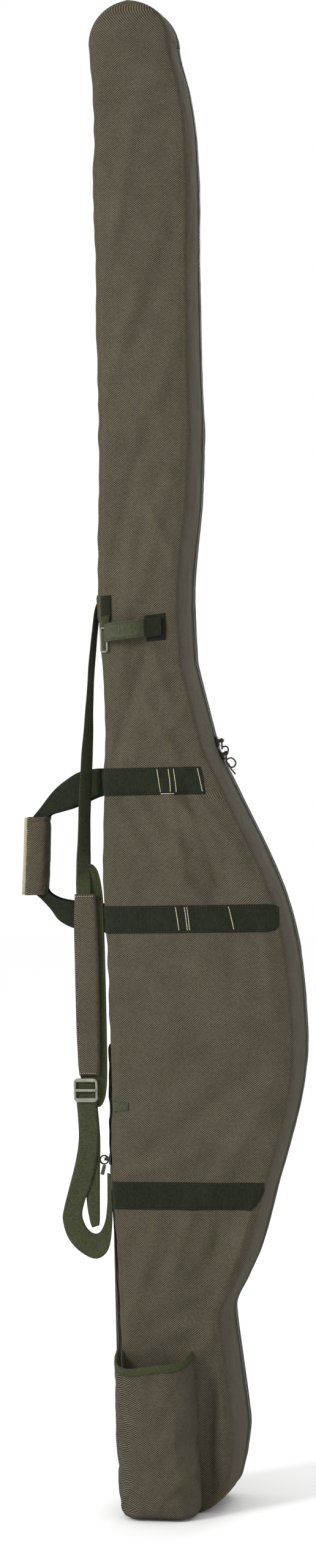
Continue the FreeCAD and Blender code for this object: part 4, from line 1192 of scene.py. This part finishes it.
# ---------------------------------------------------------------- shoulder strap

def make_shoulder_strap():
    """The long webbing turns from lying on the spine to facing forward where it passes into the pad."""
    pairs = []
    stations = ((1268, -3.4, -45, 90, 15), (1248, -10.0, -45, 88, 15), (1180, -18.6, -46, 86, 15),
                (1129, -22.6, -46.6, 84, 15), (1061, -27.4, -47.4, 73, 15), (993, -32.2, -49, 70, 15),
                (935, -34.2, -51.4, 64, 14), (908, -35.0, -53.6, 52, 12.5), (874, -35.4, -56.2, 24, 10.6),
                (848, -35.4, -57.2, 8, 10))
    # Each station: height, middle x, middle y, turn in degrees and half width.
    for z, x, y, turn, half in stations:
        a = math.radians(turn)
        dx, dy = half * math.cos(a), half * math.sin(a)
        pairs.append(((x - dx, y - dy, z), (x + dx, y + dy, z)))
    strip("strap_webbing_long", pairs, 1.6, "carry", "shoulder_strap", ("strap_webbing",), 5.0, 9, 0.4, 101,
          0.6)
    make_shoulder_pad()
    make_lower_webbing()


# The pad and its back piece, as (height, left edge, right edge).
PAD_WIDTHS = ((606, -47.0, -18.5), (620, -48.5, -17.0), (660, -49.5, -16.0), (720, -49.8, -15.5),
              (780, -49.6, -15.5), (820, -49.2, -16.5), (845, -48.6, -17.4), (859, -48.0, -18.6))
BACK_WIDTHS = ((563, -29.0, -21.0), (567, -33.0, -17.0), (575, -37.0, -13.6), (590, -42.0, -11.0),
               (612, -46.5, -9.8), (660, -49.4, -9.2), (760, -49.8, -9.2), (830, -49.4, -9.8),
               (856, -46.6, -11.6), (876, -42.0, -14.4), (890, -37.0, -18.0), (896, -32.6, -22.0),
               (898.5, -29.5, -25.0))
PAD_COLUMNS = 18


def behind_webbing(z):
    """How far the back piece's rounded top is set back, to pass behind the webbing."""
    share = min(max((z - 836.0) / 26.0, 0.0), 1.0)
    return 5.0 * share * share * (3 - 2 * share)


def crowned_pad(name, widths, front, back, look, node, rows, crown, seed, set_back=None):
    """A closed pad: a crowned front, sides that pull in, and a flatter rear face."""
    table = np.array(widths, float)
    zs = np.linspace(table[0, 0], table[-1, 0], rows)
    lefts = np.interp(zs, table[:, 0], table[:, 1])
    rights = np.interp(zs, table[:, 0], table[:, 2])
    middle = (front + back) * 0.5
    half = (back - front) * 0.5
    points = []
    for z, left, right in zip(zs, lefts, rights):
        near_end = min(z - zs[0], zs[-1] - z)
        end = math.sqrt(max(0.0, 1 - (1 - min(near_end / 8.0, 1.0)) ** 2))
        moved = set_back(z) if set_back else 0.0
        for face in (-1, 1):
            for j in range(PAD_COLUMNS):
                t = j / (PAD_COLUMNS - 1)
                edge = min(t, 1 - t) * (right - left)
                full = math.sqrt(max(0.0, 1 - (1 - min(edge / 7.0, 1.0)) ** 2)) * end
                swell = crown * math.sin(math.pi * t) * end if face < 0 else 0.0
                slack = 0.6 * wrinkle(t * 30, z, 24.0, seed + face) * full
                y = middle + face * (0.35 + half * 0.9 * full) + face * slack - swell + moved
                points.append((left + (right - left) * t, y, z))
    faces = [f[::-1] for f in section_faces(rows, PAD_COLUMNS)]
    return new_piece(name, points, faces, look, "shoulder_strap", (node,))


def make_shoulder_pad():
    pad = crowned_pad("shoulder_pad_cloth", PAD_WIDTHS, -61.6, -53.4, "fabric", "shoulder_pad", 64, 0.6,
                      111.0)
    back = crowned_pad("shoulder_pad_back", BACK_WIDTHS, -53.6, -50.4, "pad_back", "pad_binding", 84, 0.2,
                       113.0, behind_webbing)
    edge = [(left, z) for z, left, _ in BACK_WIDTHS] + [(right, z) for z, _, right in BACK_WIDTHS[::-1]]
    edge = [(x, -52.8 + behind_webbing(z), z) for x, z in edge + edge[:1]]
    tube_piece("shoulder_pad_piping", smooth_path(edge, 4.0), 1.5, "binding", "shoulder_strap", closed=True)
    ends = []
    for x, width, y, bulge, z in ((-46.6, 28.6, -62.0, 0.7, 856.0), (-45.4, 26.0, -61.6, 0.5, 609.5)):
        seam = [(x + width * t, y - bulge * math.sin(math.pi * t), z) for t in np.linspace(0, 1, 20)]
        ends += stitch_line(seam, 3.0)
    threads("shoulder_pad_stitches", ends, "thread", "shoulder_strap", 0.4)
    sides = []
    for side, inset in ((1, 3.2), (2, -3.2)):
        line = [(row[side] + inset, -60.9, row[0]) for row in PAD_WIDTHS]
        sides += stitch_line(smooth_path(line, 3.0), 3.2)
    threads("shoulder_pad_side_stitches", sides, "dark_thread", "shoulder_strap", 0.4)


def tube_piece(name, path, radius, look, body, nodes=(), closed=False, sides=8):
    """A round tube along a path, such as piping or a moulded ring."""
    pts = np.array(path, float)
    if closed:
        pts = pts[:-1]
    count = len(pts)
    points, uvs = [], []
    run = 0.0
    for i in range(count):
        before = pts[i - 1] if (i or closed) else pts[0]
        after = pts[(i + 1) % count] if (i < count - 1 or closed) else pts[-1]
        ahead = after - before
        ahead /= np.linalg.norm(ahead) or 1.0
        side = np.cross(ahead, (0.0, 1.0, 0.0))
        if np.linalg.norm(side) < 0.1:
            side = np.cross(ahead, (1.0, 0.0, 0.0))
        side /= np.linalg.norm(side)
        up = np.cross(side, ahead)
        run += np.linalg.norm(pts[i] - pts[i - 1]) if i else 0.0
        for k in range(sides):
            turn = 2 * math.pi * k / sides
            points.append(pts[i] + (side * math.cos(turn) + up * math.sin(turn)) * radius)
            uvs.append((k / sides * 2 * math.pi * radius * 0.001, run * 0.001))
    faces = grid_faces(count, sides, close_rows=closed, close_columns=True, flip=True)
    if not closed:
        faces.append(tuple(range(sides)))
        faces.append(tuple((count - 1) * sides + k for k in range(sides))[::-1])
    return new_piece(name, points, faces, look, body, nodes, uvs)


# The left and the right edge of the adjuster webbing, as (x, z): down from the buckle, round, and back up.
LOOP_PAIRS = (
    ((-53, 598), (-24, 598)), ((-53, 580), (-24, 580)), ((-51, 548), (-22.5, 548)),
    ((-50.5, 517), (-22, 517)), ((-56, 485), (-27, 482)), ((-66, 449), (-35.5, 452)),
    ((-74, 420), (-44, 430)), ((-76, 403), (-48, 411)), ((-68, 378), (-43, 395)), ((-50, 359), (-34, 386)),
    ((-28, 350.5), (-24, 387)), ((-11, 364), (-16, 402)), ((-4.8, 400), (-12.5, 424)),
    ((-4.5, 435), (-11.5, 446)), ((-4.5, 468), (-11, 470)),
)
# The loose tail, as (height at its left edge, at its right edge, left x, right x).
TAIL = ((562, 562, -47, -23), (517, 517, -44, -20.5), (470, 470, -42.5, -22), (430, 430, -42, -23),
        (402, 404, -38, -23.6), (393, 396, -35, -25))
LOOP_Y, TAIL_Y, LOCK_Y = -56.0, -52.9, -60.0


def make_lower_webbing():
    """The webbing below the buckle swings round at its foot and comes back up edge on."""
    pairs = []
    for place, (a, b) in enumerate(LOOP_PAIRS):
        swing = 2.4 * math.sin(math.pi * max(0.0, (place - 7) / 7.0))
        pairs.append(((a[0], LOOP_Y - 0.6 - swing, a[1]), (b[0], LOOP_Y + 0.4 + swing * 0.6, b[1])))
    strip("adjuster_webbing_loop", pairs, 1.6, "carry", "shoulder_strap", ("adjuster_webbing",), 4.0, 9,
          0.3, 121, 0.4)
    tail = [((left, TAIL_Y, z_left), (right, TAIL_Y, z_right)) for z_left, z_right, left, right in TAIL]
    strip("webbing_tail_end", tail, 1.6, "carry", "shoulder_strap", ("webbing_tail",), 4.0, 7, 0.2, 123, 0.3)
    make_ladder_lock()


def rounded_rectangle(left, right, low, high, radius, steps=5):
    corners = ((right - radius, high - radius, 0), (left + radius, high - radius, 90),
               (left + radius, low + radius, 180), (right - radius, low + radius, 270))
    line = []
    for x, z, start in corners:
        for a in np.linspace(start, start + 90, steps):
            turn = math.radians(a)
            line.append((x + radius * math.cos(turn), z + radius * math.sin(turn)))
    return line


def moulded_loop(name, outline, y, step, radius, body, nodes, sides):
    """A moulded wire frame round an outline in front view."""
    path = [(x, y, z) for x, z in outline + outline[:1]]
    tube_piece(name, smooth_path(path, step), radius, "plastic", body, nodes, closed=True, sides=sides)


def make_ladder_lock():
    """The three-bar buckle: a rounded frame with a thicker middle bar that stands forward."""
    outline = rounded_rectangle(-53.4, -22.6, 570.6, 600.4, 4.5)
    moulded_loop("ladder_lock_frame", outline, LOCK_Y, 1.5, 1.75, "shoulder_strap", ("ladder_lock",), 12)
    for place, (z, forward, radius) in enumerate(((573.0, 0.0, 1.9), (585.5, 1.0, 2.1), (598.6, 0.0, 1.8))):
        line = [(x, LOCK_Y - forward, z) for x in np.linspace(-53.0, -23.0, 24)]
        tube_piece(f"ladder_lock_bar_{place}", line, radius, "plastic", "shoulder_strap", sides=12)


# ---------------------------------------------------------------- rod strap on the front

# The strap's course in plan: out of the ring, forward over the room for the rods, and back to the patch.
ROD_STRAP_COURSE = ((5.6, -71.6), (8.8, -75.4), (12.4, -81.5), (19, -88.6), (32, -91.4), (46, -91.2),
                    (56, -87.6), (62, -80.6), (67, -76.6), (76, -75.4), (87, -75.2))
STRAP_RISE = 0.09


def across_strap(line, low, high, forward=0.0):
    """Pairs of edge points along the rod strap, which rises a little to the right."""
    return [tuple((x, y - forward, z + x * STRAP_RISE) for z in (low, high)) for x, y in line]


def make_rod_strap():
    line = smooth_path(ROD_STRAP_COURSE, 3.0)
    strip("rod_strap_webbing", across_strap(line, 1207.5, 1232.5), 1.6, "green", "rod_tie_strap",
          ("rod_strap",), 3.0, 8, 0.3, 131, 0.3)
    end = across_strap([(x, y) for x, y in line if x > 62.5], 1207.8, 1232.2, 1.5)
    strip("rod_strap_end_cover", end, 1.2, "band", "rod_tie_strap", step=2.0, columns=8, seed=137, ripple=0.2)
    hook = [((x, -73.6, 1211.0 + x * 0.06), (x, -73.6, 1231.5 + x * 0.06)) for x in (69.5, 75, 81, 86.5)]
    strip("rod_strap_hook_tape", hook, 1.3, "hook", "rod_tie_strap", ("rod_strap_hook",), 2.0, 8, 0.0, 132,
          0.2)
    edge = []
    for z in (1210.5, 1229.8):
        edge += stitch_line([(x, y - 1.2, z + x * STRAP_RISE) for x, y in line[2:] if x < 62], 3.0)
    threads("rod_strap_stitches", edge, "dark_thread", "rod_tie_strap", 0.35)
    patches = (
        ("rod_strap_patch_webbing", ((64, 1216, 1243), (93, 1220, 1246)), 1.9, "band", ("rod_strap_patch",),
         3.0, 8),
        ("rod_strap_patch_hook", ((66, 1207, 1217), (92, 1209, 1220)), 1.6, "hook", (), 3.0, 6),
        ("edge_webbing_band", ((0.8, 1238, 1272), (16, 1239, 1273)), 1.7, "band", ("edge_webbing",), 2.0, 8),
        ("ring_tab_plate", ((2.2, 1224, 1244), (12, 1224, 1246), (14, 1226, 1244)), 3.0, "pad_back",
         ("ring_tab",), 1.5, 8))
    for seed, (name, corners, thick, look, nodes, step, rows) in enumerate(patches, 133):
        surface_band(name, front_point, corners, thick, look, "cover", nodes, step, rows, seed)
    outline = rounded_rectangle(0.9, 9.3, 1195.0, 1227.5, 2.8)
    moulded_loop("rod_strap_ring_moulding", outline, -71.2, 1.2, 1.4, "cover", ("rod_strap_ring",), 10)


# ---------------------------------------------------------------- butt pocket

POCKET_COLUMNS = 90
POCKET_ROWS = 52
POCKET_FOOT = 4.4
POCKET_LEFT, POCKET_RIGHT = 3.0, 109.0


def pocket_plan():
    """The pocket's plan from its left seam, round the front, to its right seam, as points with their
    outward directions and their lengths along it."""
    reach, radius = -124.0, 30.0
    turns = np.linspace(0, math.pi / 2, 12)[1:]
    low, left, right = reach + radius, POCKET_LEFT + radius, POCKET_RIGHT - radius
    line = [(POCKET_LEFT, y) for y in np.linspace(-65.5, low, 14)]
    line += [(left - radius * math.cos(a), low - radius * math.sin(a)) for a in turns]
    line += [(x, reach) for x in np.linspace(left, right, 14)[1:]]
    line += [(right + radius * math.sin(a), low - radius * math.cos(a)) for a in turns]
    line += [(POCKET_RIGHT, y) for y in np.linspace(low, -65.5, 14)[1:]]
    pts = np.array(line)
    run = run_along(pts)
    wanted = np.linspace(0, run[-1], POCKET_COLUMNS)
    xs, ys = np.interp(wanted, run, pts[:, 0]), np.interp(wanted, run, pts[:, 1])
    dx, dy = np.gradient(xs), np.gradient(ys)
    long = np.hypot(dx, dy)
    return [(x, y, b / s, -a / s, w) for x, y, a, b, s, w in zip(xs, ys, dx, dy, long, wanted)]


POCKET_FOLDS = ((96, 218, 86, 120, 9, 2.2), (34, 210, 46, 110, 10, -1.8), (120, 200, 128, 60, 12, 2.4),
                (165, 214, 160, 120, 10, -2.2), (182, 180, 190, 60, 9, 2.0), (60, 90, 100, 30, 12, 1.8),
                (140, 60, 180, 24, 10, 1.6), (20, 150, 30, 40, 9, 1.6))


def pocket_rim(x, y):
    """Height of the pocket's lip: lower towards the front, and lowest at the front left."""
    front = min(1.0, max(0.0, (-65.0 - y) / 40.0))
    return 228.0 + 16.0 * (y + 65.0) / 60.0 - 7.0 * front * math.exp(-((x - 26.0) / 34.0) ** 2) + 3.0 * front


def pocket_wall(x, y, out_x, out_y, run, z, lift=0.0):
    """A point on the pocket's outer face."""
    share = (z - POCKET_FOOT) / (pocket_rim(x, y) - POCKET_FOOT)
    seam = min(1.0, (-65.0 - y + 4.0) / 22.0)
    out = seam * (2.2 * math.sin(math.pi * min(max(share, 0), 1)) ** 0.8 - 1.2 * share ** 4
                  + fold_height(run, z, POCKET_FOLDS)
                  + 1.3 * wrinkle(run, z, 44.0, 141.0) + 0.6 * wrinkle(run, z, 17.0, 142.0))
    out -= 3.5 * math.exp(-(z - POCKET_FOOT) / 5.0)
    out += lift
    lean = 6.5 * max(1.0 - share, 0.0) ** 1.3 - 2.6 * max(share, 0.0) ** 6 * (1.0 - x / POCKET_RIGHT)
    return x + out_x * out + lean, max(y + out_y * out, -126.0), z


def make_butt_pocket():
    plan = pocket_plan()
    rows, columns = POCKET_ROWS, POCKET_COLUMNS
    points = []
    for i in range(rows):
        for x, y, out_x, out_y, run in plan:
            z = POCKET_FOOT + (pocket_rim(x, y) - POCKET_FOOT) * i / (rows - 1)
            points.append(pocket_wall(x, y, out_x, out_y, run, z))
    faces = grid_faces(rows, columns)
    pins = [k for k in range(rows * columns)
            if k % columns in (0, 1, columns - 2, columns - 1) or not 2 <= k // columns < rows - 4]
    points = capped(points, settle(points, faces, pins, 0.6, 0.012, 1.2), 7.0)
    pocket = new_piece("butt_pocket_cloth", points, faces, "fabric", "cover", ("butt_pocket",))
    thicken(pocket, 2.2)
    make_pocket_binding(plan)
    base = []
    for z, grow in ((8.0, -2.4), (6.4, -1.4), (4.6, -1.6), (4.2, -3.0)):
        for x, y, out_x, out_y, _ in plan:
            base.append((x - out_x * 3.0 + out_x * grow + 5.0, y - out_y * 3.0 + out_y * grow, z))
    faces = grid_faces(4, columns, close_columns=True, flip=True)
    faces += [tuple(range(columns)), tuple(range(3 * columns, 4 * columns))[::-1]]
    new_piece("butt_pocket_base_board", base, faces, "base", "cover", ("butt_pocket_base",))


def make_pocket_binding(plan):
    """The folded tape over the pocket's lip, with its row of stitches."""
    profile = ((-10.0, 0.3), (-9.4, 1.1), (-7.0, 1.2), (-3.0, 1.2), (-0.5, 1.3), (1.0, 0.4), (1.2, -1.2),
               (0.4, -2.8), (-1.0, -3.4), (-5.0, -3.3), (-9.6, -3.2), (-10.0, -2.4))
    points, uvs = [], []
    for x, y, out_x, out_y, run in plan:
        rim = pocket_rim(x, y)
        for up, out in profile:
            wave = 0.25 * noise.noise(Vector((run / 15.0, up / 6.0, 151.0)))
            points.append(pocket_wall(x, y, out_x, out_y, run, rim + up, out + wave))
            uvs.append(((up + out) * 0.001, run * 0.001))
    columns = len(profile)
    faces = grid_faces(len(plan), columns, close_columns=True, flip=True)
    faces += [tuple(range(columns)), tuple((len(plan) - 1) * columns + k for k in range(columns))[::-1]]
    new_piece("butt_pocket_lip_tape", points, faces, "binding", "cover", ("butt_pocket_binding",), uvs)
    seam = [pocket_wall(x, y, ox, oy, run, pocket_rim(x, y) - 8.2, 1.5) for x, y, ox, oy, run in plan]
    threads("butt_pocket_lip_stitches", stitch_line(seam, 3.0), "dark_thread", "cover", 0.35)


# ---------------------------------------------------------------- inside

LINING_HEM = 6.5


def lining_sheet(name, y_outer, y_inner, body, node, lean, from_fold):
    """A quilted padding sheet inside the case, crowned between its quilting lines."""
    rows = [8.0 + 4.6 * i for i in range(int((LOBE[1] - 8.0) / 4.6))]
    rows += [LOBE[1] + (LOBE[2] - LINING_HEM) * math.sin(math.radians(a)) for a in np.linspace(2, 86, 16)]
    columns = 46
    points = []
    for z in rows:
        if z <= LOBE[1]:
            left, right = sides_at(z)
            left, right = left + LINING_HEM + from_fold, right - LINING_HEM
        else:
            left, right = lobe_sides(z, LINING_HEM, 0.25)
        if z < 97:
            right = min(right, 108 + z * 0.5)
        drop = lean * (DEPTH - depth_at(z))
        for face in (0, 1):
            for j in range(columns):
                t = j / (columns - 1)
                x = left + (right - left) * t
                edge = min(t, 1 - t) * (right - left)
                full = math.sqrt(max(0.0, 1 - (1 - min(edge / 6.0, 1.0)) ** 2))
                quilt = 1.0
                for diagonal in (x + z, x - z):
                    quilt -= 0.55 * math.exp(-(math.sin(math.pi * diagonal / 62.0) / 0.16) ** 2)
                thick = (y_inner - y_outer) * (0.35 + 0.6 * full * max(quilt, 0.1))
                points.append((x, y_outer + face * thick - drop, z))
    faces = section_faces(len(rows), columns)
    if y_inner < y_outer:
        faces = [f[::-1] for f in faces]
    pad = new_piece(name, points, faces, "lining", body, (node,))


def make_inside():
    lining_sheet("front_lining_quilt", -60.6, -54.8, "cover", "front_padding", 0.0, 9.0)
    lining_sheet("back_lining_quilt", 60.6, 54.8, "case", "back_padding", 1.0, 0.0)
    for name, low in (("lower", 330), ("upper", 1090)):
        pairs = [((x, y, low + 1), (x, y, low + 37)) for x, y in
                 ((22, 54.2), (40, 52.6), (58, 49.8), (76, 52.6), (94, 54.2))]
        strip(f"{name}_rod_tie_webbing", pairs, 2.0, "band", "case", (f"{name}_rod_tie",), 3.0, 9, 0.4,
              160 + low, 0.4)
    make_base()


def make_base():
    """The stiff board in the foot, covered in dark cloth and rounded at its edges."""
    left, right, near, far = 4.5, 113.5, -59.5, 60.5
    plan = rounded_rectangle(left, right, near, far, 9.0, 6)
    centre_x, centre_y = (left + right) * 0.5, (near + far) * 0.5
    points = []
    levels = ((0.3, -2.2), (0.9, -0.7), (2.4, 0.0), (4.2, -0.6), (5.0, -2.4))
    for z, grow in levels:
        for x, y in plan:
            away = math.hypot(x - centre_x, y - centre_y)
            points.append((x + (x - centre_x) / away * grow, y + (y - centre_y) / away * grow, z))
    count = len(plan)
    faces = grid_faces(len(levels), count, close_columns=True)
    faces += [tuple(range(count))[::-1], tuple((len(levels) - 1) * count + k for k in range(count))]
    new_piece("base_board_cover", points, faces, "base", "case", ("base_board",))


# ---------------------------------------------------------------- zip pullers and their cords

# The cords' routes as their loops hang in the photo: control points of one smooth curve each.
CORD_DIAMETER = 0.0022
UPPER_CORD = ((147.8, 35, 1059), (152, 33, 1061), (157, 30, 1059.5), (158.5, 28, 1054), (155.5, 27, 1049),
              (154.5, 25.5, 1043), (157.5, 24.5, 1035.5), (162.5, 23.5, 1028), (168.5, 23, 1021))
LOWER_CORD = ((153.8, 35, 1041), (158, 36.5, 1044.5), (163, 38.5, 1043), (166.5, 39.5, 1038),
              (165.5, 39.5, 1032.5), (161, 38.5, 1030), (157.5, 37, 1032), (156.5, 36, 1036.5))


def make_cord(name, route, body, node):
    data = bpy.data.curves.new(name, "CURVE")
    data.dimensions = "3D"
    data.resolution_u = 12
    data.bevel_depth = CORD_DIAMETER / 2
    data.bevel_resolution = 3
    spline = data.splines.new("NURBS")
    spline.points.add(len(route) - 1)
    for point, place in zip(spline.points, route):
        point.co = (*at(*place), 1.0)
    spline.order_u = 3
    spline.use_endpoint_u = True
    data.materials.append(MATS["cord"])
    piece = bpy.data.objects.new(name, data)
    bpy.context.collection.objects.link(piece)
    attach(piece, body)
    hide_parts(node)


def make_cords():
    make_cord("upper_pull_cord", UPPER_CORD, "upper_pull", "upper_puller_cord")
    make_cord("lower_pull_cord", LOWER_CORD, "lower_pull", "lower_puller_cord")


def finish_hardware():
    """The carried-over metal and moulded nodes get their wear and grain."""
    looks = dict.fromkeys(("upper_slider", "lower_slider", "side_slider", "upper_puller", "lower_puller"),
                          "metal")
    looks.update(side_pull_ring="teeth", side_pull_tab="plastic")
    for node, look in looks.items():
        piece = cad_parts[node]
        piece.data.materials.clear()
        piece.data.materials.append(MATS[look])


STEPS = (make_camera, make_cords, make_studio, make_shells, make_zip, make_bands, make_anchors,
         make_side_pocket, make_handle, make_shoulder_strap, make_rod_strap, make_butt_pocket,
         make_inside, finish_hardware)
for step in STEPS:
    step()
